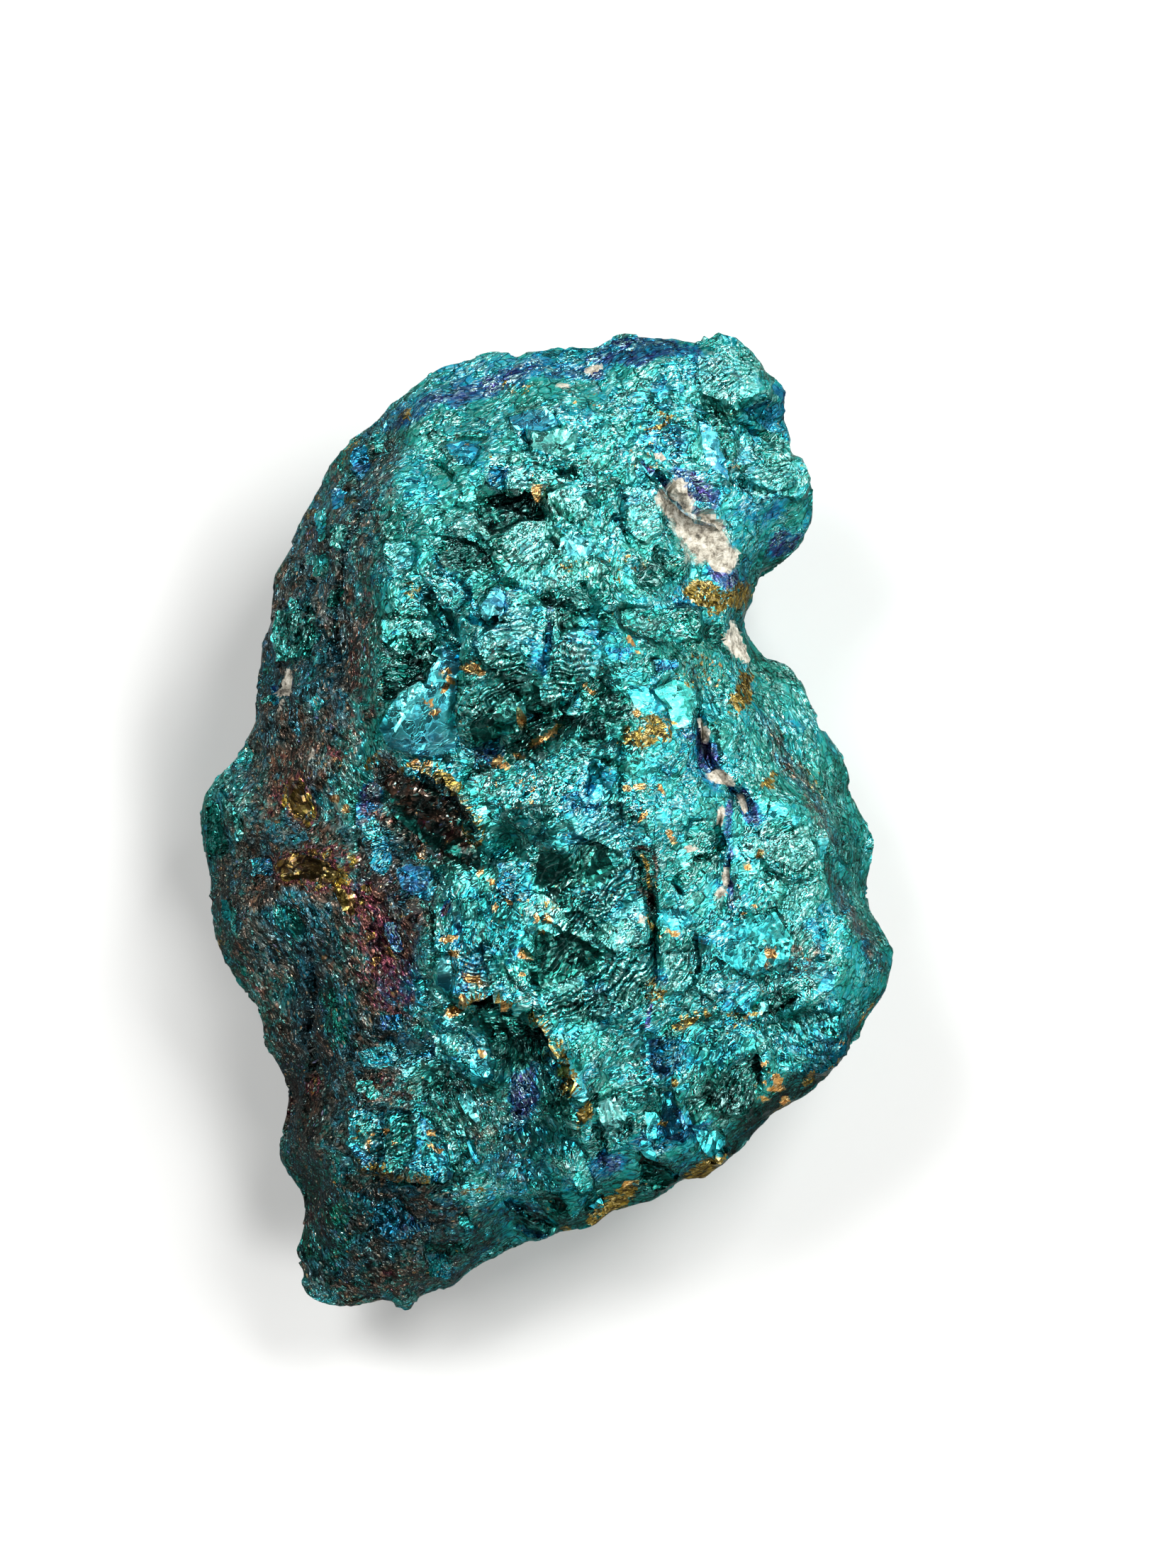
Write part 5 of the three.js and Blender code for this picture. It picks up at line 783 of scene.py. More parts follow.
def welded(cad):
    """The corners and triangles of a CAD node in mm, with the corners that meet joined."""
    mesh = cad.data
    mesh.calc_loop_triangles()
    corners = np.empty(len(mesh.vertices) * 3)
    mesh.vertices.foreach_get("co", corners)
    corners = corners.reshape(-1, 3) / MM
    triangles = np.empty(len(mesh.loop_triangles) * 3, np.int32)
    mesh.loop_triangles.foreach_get("vertices", triangles)
    keys = np.round(corners * 1000).astype(np.int64)
    _, first, joined = np.unique(keys, axis=0, return_index=True, return_inverse=True)
    faces = joined.ravel()[triangles].reshape(-1, 3)
    whole = (faces[:, 0] != faces[:, 1]) & (faces[:, 1] != faces[:, 2]) & (faces[:, 2] != faces[:, 0])
    return corners[first], faces[whole]


def sides_of(faces):
    """The three sides of each triangle as pairs of points."""
    return faces[:, [[0, 1], [1, 2], [2, 0]]].reshape(-1, 2)


def gathered(where, rows, count):
    """Rows of three added up where they belong."""
    return np.stack([np.bincount(where, rows[:, axis], count) for axis in range(3)], axis=1)


def of_length_one(rows):
    """Rows of three brought to a length of 1."""
    return rows / np.maximum(np.linalg.norm(rows, axis=1, keepdims=True), 1e-12)


def quartered(points, faces):
    """Each triangle split into four at the middles of its sides."""
    unique, which = np.unique(np.sort(sides_of(faces), axis=1), axis=0, return_inverse=True)
    middle = (which.ravel() + len(points)).reshape(-1, 3)
    a, b, c = faces.T
    ab, bc, ca = middle.T
    split = [(a, ab, ca), (ab, b, bc), (ca, bc, c), (ab, bc, ca)]
    split = np.concatenate([np.stack(corner, axis=1) for corner in split])
    return np.concatenate([points, points[unique].mean(axis=1)]), split


def outward(points, faces):
    """The way out of the surface at each point."""
    a, b, c = (points[faces[:, n]] for n in range(3))
    face = np.cross(b - a, c - a)
    total = np.zeros_like(points)
    for n in range(3):
        total += gathered(faces[:, n], face, len(points))
    return of_length_one(total)


def relaxed(points, faces, rounds):
    """The points evened out over their neighbours."""
    here, there = sides_of(faces).T
    count = np.bincount(here, minlength=len(points))[:, None]
    points = points.copy()
    for _ in range(rounds):
        points += 0.6 * (gathered(here, points[there], len(points)) / count - points)
    return points


def faceted(points, faces, rounds):
    """The points moved so that neighbouring triangles join into flat facets with crisp edges."""
    sides = np.sort(sides_of(faces), axis=1)
    order = np.lexsort((sides[:, 1], sides[:, 0]))
    pair = order.reshape(-1, 2) // 3  # the two triangles that meet at each side
    here, there = np.concatenate([pair, pair[:, ::-1]]).T
    corner = points[faces]
    way = np.cross(corner[:, 1] - corner[:, 0], corner[:, 2] - corner[:, 0])
    area = np.linalg.norm(way, axis=1, keepdims=True)
    way = way / np.maximum(area, 1e-12)
    for _ in range(rounds):
        apart = ((way[here] - way[there]) ** 2).sum(axis=1)
        weight = np.exp(-apart / (2 * FACET_SHARPNESS**2)) * area[there, 0]
        way = of_length_one(way * area + gathered(here, weight[:, None] * way[there], len(faces)))
    points = points.copy()
    count = np.bincount(faces.ravel(), minlength=len(points))[:, None]
    for _ in range(rounds):
        middle = points[faces].mean(axis=1)
        move = np.zeros_like(points)
        for n in range(3):
            off = way * ((middle - points[faces[:, n]]) * way).sum(axis=1, keepdims=True)
            move += gathered(faces[:, n], off, len(points))
        points += move / count
    return points


def line_distance(plan, line):
    """How far each plan point is from a line, how far along it as a share, on which side (1 for the
    left and on the line, -1 for the right), and the step that takes it onto the line."""
    nearest = np.full(len(plan), np.inf)
    along, left, step = np.zeros(len(plan)), np.zeros(len(plan)), np.zeros((len(plan), 2))
    run = 0.0
    for start, end in zip(line, line[1:]):
        start, way = np.array(start), np.array(end) - np.array(start)
        span = np.hypot(*way)
        t = np.clip(((plan - start) @ way) / span**2, 0, 1)
        over = start + t[:, None] * way - plan
        distance = np.hypot(*over.T)
        closer = distance < nearest
        nearest[closer] = distance[closer]
        along[closer] = run + t[closer] * span
        step[closer] = over[closer]
        cross = way[0] * over[closer, 1] - way[1] * over[closer, 0]
        left[closer] = np.where(cross < 1e-6, 1.0, -1.0)
        run += span
    return nearest, along / run, left, step


def near_corners(plan, corners, margin, allowed):
    """Which plan points are about a feature's corners and allowed."""
    low, high = np.min(corners, axis=0) - margin, np.max(corners, axis=0) + margin
    return np.flatnonzero(((plan > low) & (plan < high)).all(axis=1) & allowed)


def snapped(points, faces, plan, out, top):
    """The points moved onto the edges, ledges and cracks that they are next to, to break crisply."""
    sides = sides_of(faces)
    length = np.linalg.norm(points[sides[:, 0]] - points[sides[:, 1]], axis=1)
    count = np.bincount(sides[:, 0], minlength=len(points))
    nearest = SNAP_SHARE * np.bincount(sides[:, 0], length, len(points)) / count
    nearest = np.minimum(nearest, SNAP_LIMIT)
    move = np.zeros((len(points), 2))
    lines = [plate[-1] + plate[-1][:1] for plate in PLATES + SLEEK_PLATES]
    for line in lines + [feature[-1] for feature in LEDGES + CRACKS + CRESTS]:
        near = near_corners(plan, line, 0.2, top > 0.5)
        distance, _, _, step = line_distance(plan[near], line)
        closer = distance < nearest[near]
        nearest[near[closer]] = distance[closer]
        move[near[closer]] = step[closer]
    points = points.copy()
    points[:, :2] += move
    points[:, 2] -= (out[:, :2] * move).sum(axis=1) / np.maximum(out[:, 2], 0.3)
    return points, plan + move


def oval(plan, x, y, half_length, half_width, turn):
    """1 at an oval's middle, 0 at its edge and below 0 outside it."""
    a = math.radians(turn)
    dx, dy = plan[:, 0] - x, plan[:, 1] - y
    u = (dx * math.cos(a) + dy * math.sin(a)) / half_length
    v = (dy * math.cos(a) - dx * math.sin(a)) / half_width
    return 1 - np.hypot(u, v)


def within(plan, corners):
    """How far each plan point is inside an outline; below 0 outside it."""
    loop = corners + corners[:1]
    distance = line_distance(plan, loop)[0]
    inside = np.zeros(len(plan), bool)
    for (x0, y0), (x1, y1) in zip(loop, loop[1:]):
        if y0 != y1:
            crossing = x0 + (plan[:, 1] - y0) * (x1 - x0) / (y1 - y0)
            inside ^= ((y0 > plan[:, 1]) != (y1 > plan[:, 1])) & (plan[:, 0] < crossing)
    return np.where(inside, distance, -distance)


def plate_shares(plan, top, crisp):
    """Each plate's points and its share of them. A dark plate's edge is softer than the others'."""
    for plate in PLATES + SLEEK_PLATES:
        oxide_and_painted_light, corners = plate[-2:]
        near = near_corners(plan, corners, 0.5, top > 0)
        inside = within(plan[near], corners)
        if crisp:
            share = ease(inside / 0.02 + 0.5)
        elif oxide_and_painted_light > 0.6:
            share = ease(inside / 0.25 + 1)
        else:
            share = ease(inside / 0.5 + 0.6)
        share = share * top[near]
        yield plate, near[share > 0], share[share > 0]


def split_plates(points, plan, top):
    """Moves the points of each plate onto its own plane."""
    points = points.copy()
    for (way, lean, lift, *_), near, share in plate_shares(plan, top, False):
        if len(near) == 0:
            continue
        middle = np.average(points[near], axis=0, weights=share)
        a = math.radians(way)
        away = (points[near] - middle) @ np.array([math.cos(a), math.sin(a), 0.0])
        flat = middle[2] + lift - math.tan(math.radians(lean)) * away
        points[near, 2] += PLATE_FLATTENING * share * (flat - points[near, 2])
    return points


def rib_height(points, plan, top):
    """Long ribs, as on crumpled foil, each field running its own way."""
    height = np.zeros(len(points))
    for n, (x, y, radius, way, spacing) in enumerate(RIBS):
        weight = ease(1.6 * oval(plan, x, y, radius, radius, 0)) * top
        near = weight > 0
        a = math.radians(way)
        p = points[near]
        bend = 0.9 * drift(p, 2.6, RIB_BENDS + n) + 0.35 * drift(p, 0.9, RIB_FINE_BENDS + n)
        across = (p[:, 1] * math.cos(a) - p[:, 0] * math.sin(a) + bend) / spacing
        tooth = np.abs((across % 1) - 0.62) / 0.62  # one side of a rib is steeper than the other
        strength = 0.55 + 0.45 * drift(p, 1.4, RIB_STRENGTHS + n)
        height[near] += weight[near] * strength * (tooth - 0.4)
    return height


def rib_way(plan):
    """The way the ribs run at each point, in radians round from the right-hand side."""
    across, up = np.full(len(plan), 0.05), np.full(len(plan), 0.05)
    for x, y, radius, way, _ in RIBS:
        weight = ease(1.6 * oval(plan, x, y, radius, radius, 0)) ** 2
        doubled = 2 * math.radians(way)  # a rib has no front or back, so 0 and 180 are one way
        across += weight * math.cos(doubled)
        up += weight * math.sin(doubled)
    return 0.5 * np.arctan2(up, across)


def foil_ribs(points, plan, top):
    """How far each point is across the ribs that it is among, in mm, and how strong they are."""
    ribbed, across = np.zeros(len(points)), np.zeros(len(points))
    for *patch, strength, middle in FOIL_FIELDS:
        share = strength * ease(1.3 * oval(plan, *patch) + 0.25) * top
        here = share > ribbed
        ribbed[here] = share[here]
        across[here] = np.hypot(*(plan[here] - middle).T)
    bend = 0.5 * drift(points, 2.2, FOIL_BENDS) + 0.2 * drift(points, 0.8, FOIL_FINE_BENDS)
    return across + bend, ribbed


def dullness(points, ragged):
    """How dusty each point is."""
    dull = np.zeros(len(points))
    for *patch, strength in DULL:
        dull = np.maximum(dull, strength * ease(0.9 * oval(points, *patch) + 0.45 + 0.5 * ragged))
    return dull


def line_relief(plan, top):
    """How far the ledges, the cracks and the crests move each point, in mm."""
    ledges, cracks, crests = (np.zeros(len(plan)) for _ in range(3))
    for step, high, low, line in LEDGES:
        distance, share, left, _ = line_distance(plan, line)
        fade = ease(np.minimum(share, 1 - share) / 0.2)
        reach = np.where(left > 0, high, low)
        ledges += left * step / 2 * (fade * np.clip(1 - distance / reach, 0, 1) ** 1.5)
    for depth, width, line in CRACKS:
        distance, share, _, _ = line_distance(plan, line)
        fade = ease(np.minimum(share, 1 - share) / 0.25)
        cracks = np.minimum(cracks, -depth * fade * np.clip(1.3 - distance / (width / 2), 0, 1))
    for rise, width, line in CRESTS:
        distance, share, _, _ = line_distance(plan, line)
        fade = ease(np.minimum(share, 1 - share) / 0.2)
        crests = np.maximum(crests, rise * fade * np.clip(1 - distance / (width / 2), 0, 1))
    return ledges * top + cracks * top + crests * top


def chip_height(points, size):
    """The chips and scoops that the surface broke into, about -1 to 1 high."""
    height = CHIP_SHARE * chips(points, size, CHIPS, CHIP_JUMP)
    height += FINE_CHIP_SHARE * chips(points, size * FINE_CHIP_SIZE, FINE_CHIPS, FINE_CHIP_JUMP)
    height += SCOOP_SHARE * scoops(points, size * SCOOP_SIZE, SCOOPS)
    return height


def stone_surface(settings):
    """The stone's points in mm, its triangles, and its patches as values on the triangles or points."""
    points, faces = welded(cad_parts["peacock_ore"])
    for _ in range(SPLITS):
        points, faces = quartered(points, faces)
    even = faceted(points, faces, settings.evening)
    broad_out = outward(even, faces)
    side = ease((0.5 - broad_out[:, 2]) / 0.4)[:, None]
    even += SIDE_EVENING * side * (relaxed(even, faces, SIDE_ROUNDS) - even)
    out = outward(even, faces)
    top = ease((out[:, 2] + 0.1) / 0.4)
    rest = ease(even[:, 2] / 0.6)  # the flat spot stays flat

    warp = drifts(even, BEND_SIZE, WARP, 3)
    jagged = even[:, :2] + EDGE_BEND * warp[:, :2] + EDGE_JAG * drifts(even, JAG_SIZE, JAGS, 2)
    even, jagged = snapped(even, faces, jagged, out, top)
    even = split_plates(even, jagged, top)
    out = outward(even, faces)
    bent = even + CHIP_BEND * warp
    plan = bent[:, :2]
    grain = np.array([math.cos(GRAIN), math.sin(GRAIN), 0.0])
    grained = bent - GRAIN_STRETCH * np.outer(bent @ grain, grain)
    height = chip_height(grained, settings.chip_size / MM)
    height *= settings.chip_step / MM * (1 + SIDE_CHIPS * side[:, 0] + DULL_CHIPS * dullness(even, 0))
    height += settings.rib_step / MM * rib_height(bent, plan, top)
    height += line_relief(jagged, top)
    points = even + (rest * height)[:, None] * out

    low, high = (np.array(corner) / MM for corner in STONE_BOX)
    points = np.clip(points, low, high)
    values = patches(*(value[faces].mean(axis=1) for value in (even, warp, jagged, top)))
    # How deep each point lies, for painted shade in the hollows and painted light on the bumps.
    fine, broad = (
        ((relaxed(points, faces, rounds) - points) * out).sum(axis=1)
        for rounds in (FINE_ROUNDS, BROAD_ROUNDS)
    )
    values["hollow"] = np.clip(fine / FINE_HOLLOW + broad / BROAD_HOLLOW, -1, 1)
    values["way"] = rib_way(plan)
    values["across"], values["ribbed"] = foil_ribs(even, plan, top)
    # The near, steep sides are painted darker: painted shade.
    steep = ease((0.75 - broad_out[:, 2]) / 0.5) * ease((0.5 - broad_out[:, 1]) / 0.5)
    values["oxide_and_painted_light"] *= 1 - NEAR_SIDE_SHADE * steep[faces].mean(axis=1)
    return points, faces, values


def patches(points, warp, jagged, top):
    """What the surface is at each point, from 0 to 1: film, tone (oxide, painted shade and painted
    highlights), bare ore, copper, quartz and dust.
    """
    plan = points[:, :2] + PATCH_BEND * warp[:, :2]
    ragged = RAGGEDNESS * drift(points, 0.7, RAGGED)
    ragged += FINE_RAGGEDNESS * drift(points, 0.35, FINE_RAGGED)

    def spread(share, edge=0.5, where=top):
        return ease((share + edge / 2 + ragged) / edge) * where

    def along(width, line):
        return 1 - line_distance(plan, line)[0] / (width / 2)

    below = partial(spread, where=1 - top)
    film, oxide_and_painted_light, dust = (np.full(len(points), usual) for usual in (TEAL, 1.0, 0.35))
    brass, copper, specks, quartz, clean, sleek = (np.zeros(len(points)) for _ in range(6))
    for value, *patch, strength in FILM_PATCHES:
        film += strength * spread(oval(plan, *patch)) * (value - film)
    for value, width, line in FILM_LINES:
        film += 0.8 * spread(0.6 * along(width, line)) * (value - film)
    for value, *patch, strength in UNDER_FILMS:
        film += strength * below(oval(plan, *patch), 0.6) * (value - film)
    for *patch, strength in UNDER_BRASS:
        brass = np.maximum(brass, strength * below(oval(plan, *patch), 0.9))
    for *patch, strength in BRASS:
        brass = np.maximum(brass, strength * spread(oval(plan, *patch), 0.9))
    for width, line in BRASS_LINES:
        brass = np.maximum(brass, 0.9 * spread(0.6 * along(width, line)))
    # Each plate brings its tone: oxide and painted shade below 1, and a painted highlight above 1.
    for plate, near, share in plate_shares(jagged, top, True):
        value, shade = plate[3:5]
        sleek[near] += share * ((plate in SLEEK_PLATES) - sleek[near])
        oxide_and_painted_light[near] += share * (shade - oxide_and_painted_light[near])
        clean[near] = np.maximum(clean[near], share)
        if value is not None:
            film[near] += 0.8 * share * (value - film[near])
    # A painted highlight along the crests.
    for _, width, line in CRESTS:
        share = ease(1.5 * along(width, line)) * top
        oxide_and_painted_light += share * (1.25 - oxide_and_painted_light)
    # Painted shade over whole areas.
    for take, *patch in PAINTED_SHADE:
        oxide_and_painted_light *= 1 - take * spread(oval(plan, *patch), 0.8)
    for patch in NUGGETS:
        copper = np.maximum(copper, spread(oval(plan, *patch), 0.4))
    for x, y, radius in SPECK_FIELDS:
        specks = np.maximum(specks, ease(1.3 * oval(plan, x, y, radius, radius, 0) + 0.3) * top)
    for patch in UNDER_QUARTZ:
        quartz = np.maximum(quartz, below(oval(plan, *patch), 0.3))
    for patch in QUARTZ + QUARTZ_FLECKS:
        quartz = np.maximum(quartz, spread(oval(plan, *patch), 0.25))
    dull = dullness(plan, ragged) * (1 - 0.8 * clean)
    for *patch, strength in PLATE_DUST:
        dull = np.maximum(dull, strength * spread(oval(plan, *patch), 0.7))
    for value, *patch, strength in DUSTS:
        dust += strength * spread(oval(plan, *patch), 0.7) * (value - dust)
    return {
        "film": film, "oxide_and_painted_light": oxide_and_painted_light, "brass": brass, "copper": copper, "specks": specks,
        "quartz": quartz, "dull": dull, "dust": dust, "sleek": sleek,
    }


def mesh_from(name, points, faces, values):
    """A mesh with flat triangles, and each value on its triangles or its points."""
    mesh = bpy.data.meshes.new(name)
    mesh.vertices.add(len(points))
    mesh.vertices.foreach_set("co", (points * MM).ravel())
    mesh.loops.add(faces.size)
    mesh.loops.foreach_set("vertex_index", faces.astype(np.int32).ravel())
    mesh.polygons.add(len(faces))
    mesh.polygons.foreach_set("loop_start", np.arange(0, faces.size, 3, dtype=np.int32))
    mesh.polygons.foreach_set("use_smooth", np.zeros(len(faces), bool))
    mesh.update(calc_edges=True)
    for title, value in values.items():
        layer = mesh.attributes.new(title, "FLOAT", "FACE" if len(value) == len(faces) else "POINT")
        layer.data.foreach_set("value", value.astype(np.float32))
    return mesh


# --- materials ---

# The colours that the film of tarnish takes as it thickens on bare, brassy ore. The one that most of
# the stone has is a setting, and so is one each of the ore's, the copper's and the quartz's.
FILM_COLOURS = [
    (0.00, "#8F7D2E"), (0.07, "#B4943A"), (0.14, "#C97F4A"), (0.22, "#70303A"), (0.30, "#54304F"),
    (0.38, "#4C4482"), (0.48, "#3A6699"), (0.58, "#2D9CC8"), (0.66, "#34B2C0"), (0.84, "#379A8B"),
    (0.95, "#1A6A5E"), (1.00, "#154C46"),
]
ORE_COLOURS = [(0.0, "#40361C"), (0.35, "#70602E"), (1.0, "#C0AC74")]
COPPER_COLOURS = [(0.0, "#AC7A48"), (1.0, "#E2C688")]
QUARTZ_COLOURS = [(0.34, "#4A463E"), (0.44, "#948D7E"), (0.70, "#E6E2D6")]
DUST_COLOURS = [
    (0.0, "#125A4A"), (0.2, "#22505E"), (0.4, "#4A4C48"), (0.6, "#5E4234"), (0.8, "#582438"),
    (1.0, "#8E762A"),
]
# Colours of the painted glints in the dust.
PAINTED_GLINT_COLOURS = [
    (0.0, "#4AA09A"), (0.3, "#8CC4BC"), (0.55, "#DCD8C8"), (0.8, "#CC9E60"), (1.0, "#7088C8"),
]
# Colours of the painted highlights on rib tops, creases and shards, and on the palest faces.
RIB_HIGHLIGHT, CREASE_HIGHLIGHT, FACE_HIGHLIGHT = linear("#C4EEE6"), linear("#C4EEE8"), linear("#A0DCD2")

# Sizes in mm of what the finish draws: the broken facets, the slivers and shards on them and the
# creases over them, each with its length along the ribs and its width, and the thin foil ribs.
FACET = 1.3
SLIVER, SHARD, CREASE = (0.8, 0.45), (0.4, 0.15), (1.3, 0.32)
FOIL_RIB = 0.34
FACET_OFFSET = (31.0, 31.0, 31.0)  # sets each facet's slivers apart from its neighbours'

# What the mesh carries for the finish, on its triangles or points.
VALUES = (
    "film", "oxide_and_painted_light", "brass", "copper", "specks", "quartz", "dull", "dust", "sleek", "hollow", "way",
    "across", "ribbed",
)

# The noises that the finish draws from: size in mm, detail and roughness.
NOISES = {
    "stray": (0.7, 1.0, 0.5), "crumpled": (1.7, 2.0, 0.5), "blotch": (0.4, 4.0, 0.7),
    "open": (1.2, 2.0, 0.5), "slow": (4.0, 3.0, 0.5), "dusty": (0.6, 4.0, 0.7),
    "kinds": (0.9, 4.0, 0.65), "grains": (0.5, 5.0, 0.7),
}


def node(tree, kind, inputs=(), **settings):
    """Adds a node of a kind, with its operation if it has one, such as "Math ADD", and its settings,
    and fills or links its inputs, given in order or by name. Another node among the inputs stands
    for its first output in use."""
    kind, _, operation = kind.partition(" ")
    new = tree.nodes.new("ShaderNode" + kind)
    if operation:
        new.operation = operation
    for name, value in settings.items():
        setattr(new, name, value)
    for place, value in inputs.items() if isinstance(inputs, dict) else enumerate(inputs):
        if isinstance(value, bpy.types.Node):
            value = next(output for output in value.outputs if output.enabled)
        if isinstance(value, bpy.types.NodeSocket):
            tree.links.new(value, new.inputs[place])
        else:
            new.inputs[place].default_value = value
    return new


def with_stops(ramp, stops, *own):
    """A colour ramp with its colours at their places, and a setting's own colour at its place."""
    stops = [(place, linear(code)) for place, code in stops] + [(place, tuple(c)) for place, c in own]
    elements = ramp.color_ramp.elements
    while len(elements) < len(stops):
        elements.new(0.5)
    for element, (place, colour) in zip(elements, sorted(stops)):
        element.position = place
        element.color = colour
    return ramp


def tarnished_chalcopyrite(settings):
    """Chalcopyrite, broken by hammer and tarnished with acid: a metal under a thin oxide film.

    The film's colour follows its thickness, so every facet has a tint of its own. The broken
    facets are bright and crumpled like foil, the grooves hold dark oxide, the hollows and the feet of
    the ribs carry painted shade, rib tops, creases, glints and the brightest faces carry painted
    highlights, and dust dulls one side.
    """
    material = bpy.data.materials.new("tarnished_chalcopyrite")
    material.use_nodes = True
    tree = material.node_tree
    shader = tree.nodes["Principled BSDF"]
    add = partial(node, tree)

    def shifted(value, by, number):
        return add("Math MULTIPLY_ADD", (add("Math SUBTRACT", (number, 0.5)), by, value))

    def plane(where, cell):
        """The height of a cell's own tilted plane."""
        lean = add("VectorMath SUBTRACT", (cell["Color"], (0.5, 0.5, 0.5)))
        away = add("VectorMath SUBTRACT", (where, cell["Position"]))
        return add("VectorMath DOT_PRODUCT", (away, lean))

    place = add("TexCoord").outputs["Object"]
    place = add("VectorMath SCALE", {0: place, "Scale": 1 / MM})
    noise = {
        title: add("TexNoise", {"Vector": place, "Scale": 1 / size, "Detail": detail, "Roughness": rough})
        for title, (size, detail, rough) in NOISES.items()
    }
    stray = noise["stray"].outputs["Color"]
    wander = add("VectorMath MULTIPLY_ADD", (stray, (0.5, 0.5, 0.5), place))
    value = {title: add("Attribute", attribute_name=title).outputs["Fac"] for title in VALUES}
    sleek, dull, oxide_and_painted_light, ribbed, quartz = (
        value[title] for title in ("sleek", "dull", "oxide_and_painted_light", "ribbed", "quartz")
    )

    # Broken facets, and slivers and shards on them that run the ribs' way.
    facet = add("TexVoronoi", {"Vector": wander, "Scale": 1 / FACET}).outputs
    number_1 = add("SeparateColor", (facet["Color"],)).outputs["Red"]
    way = add("Math MULTIPLY", (value["way"], -1.0))
    way = add("Math MULTIPLY_ADD", (add("Math SUBTRACT", (number_1, 0.5)), -0.9, way))
    flow = add("VectorMath SUBTRACT", (wander, facet["Position"]))
    flow = add("VectorRotate", {"Vector": flow, "Angle": way}, rotation_type="Z_AXIS")
    flow = add("VectorMath MULTIPLY_ADD", (facet["Color"], FACET_OFFSET, flow))
    sliver_flow, shard_flow, crease_flow = (
        add("VectorMath MULTIPLY", (flow, (1 / length, 1 / width, 1 / width)))
        for length, width in (SLIVER, SHARD, CREASE)
    )
    sliver, shard = (
        add("TexVoronoi", {"Vector": where, "Scale": 1.0}).outputs for where in (sliver_flow, shard_flow)
    )
    number_2, number_3 = (add("SeparateColor", (cell["Color"],)).outputs for cell in (sliver, shard))

    # Creases, which run the same way. Some places are smooth and others crinkled.
    folds = add("TexNoise", {"Vector": crease_flow, "Scale": 1.0, "Roughness": 0.6})
    crease = add("Math ABSOLUTE", (add("Math SUBTRACT", (folds, 0.5)),))
    crinkle = add("MapRange", (noise["crumpled"], 0.42, 0.58, 0.25, 1.0))
    crinkle = add("Math MAXIMUM", (crinkle, dull))
    crinkle = add("Math MULTIPLY", (crinkle, add("Math MULTIPLY_ADD", (sleek, -0.75, 1.0))))

    # Thin ribs where the foil is crumpled, with a painted highlight on their tops and painted shade at
    # their feet.
    phase = add("Math MULTIPLY", (noise["stray"], 2.8))
    phase = add("Math MULTIPLY_ADD", (value["across"], 2 / FOIL_RIB, phase))
    ridge = add("Math PINGPONG", (phase, 1.0))
    rib_highlight = add("MapRange", (ridge, 0.70, 0.95))
    rib_highlight = add("Math MULTIPLY", (rib_highlight, add("MapRange", (noise["blotch"], 0.40, 0.54))))
    rib_trough_shade = add("MapRange", (ridge, 0.72, 0.3))

    # Hairline cracks round the facets and the slivers, where the noise lets them through.
    cracks = []
    for where, scale, edge, share in (
        (wander, 1 / FACET, (0.0, 0.05, 0.95, 0.0), (0.50, 0.60)),
        (sliver_flow, 1.0, (0.02, 0.1, 0.8, 0.0), (0.60, 0.44)),
    ):
        gap = add("TexVoronoi", {"Vector": where, "Scale": scale}, feature="DISTANCE_TO_EDGE")
        share = add("MapRange", (noise["open"], *share))
        cracks.append(add("Math MULTIPLY", (add("MapRange", (gap, *edge)), share)))
    cracks = add("Math MAXIMUM", cracks)

    # The film: its patches, a slow drift over the stone, and a tint for each facet.
    patched = film = value["film"]
    for by, number in (
        (0.36, noise["slow"]), (0.10, number_1), (0.14, number_2["Green"]), (0.06, number_3["Blue"]),
    ):
        film = shifted(film, by, number)
    film = add("Math SUBTRACT", (film, patched))
    film = add("Math MULTIPLY", (film, add("Math MULTIPLY_ADD", (sleek, -0.6, 1.0))))
    film = add("Math MAXIMUM", (add("Math ADD", (film, patched)), 0.0))
    metal = with_stops(add("ValToRGB", (film,)), FILM_COLOURS, (TEAL, settings.film_colour))

    # Oxide darkens the metal in blotches, on some slivers and in the cracks. The hollows get painted
    # shade, with painted light on the bumps, and so do the feet of the ribs; the tone brings in
    # the plates' and areas' painted shade and highlights.
    light = add("Math MULTIPLY_ADD", (noise["blotch"], 0.8, 0.1))
    light = add("Math MULTIPLY_ADD", (value["hollow"], -0.10, light))
    light = shifted(light, 0.14, number_2["Red"])
    light = shifted(light, add("Math MULTIPLY", (crinkle, 0.2)), number_3["Red"])
    light = add("MapRange", (light, 0.30, 0.54, 0.62, 1.0))
    trough_shade = add("Math MULTIPLY", (rib_trough_shade, ribbed))
    light = add("Math MULTIPLY", (light, add("Math MULTIPLY_ADD", (trough_shade, -0.75, 1.0))))
    open_share = add("Math SUBTRACT", (1.0, add("Math MULTIPLY", (cracks, 0.9))))
    light = add("Math MULTIPLY", (light, open_share))
    back = add("Math MULTIPLY", (add("Math MULTIPLY", (sleek, 0.75)), add("Math SUBTRACT", (1.0, light))))
    light = add("Math ADD", (light, back))
    light = add("Math MULTIPLY", (light, oxide_and_painted_light), use_clamp=True)

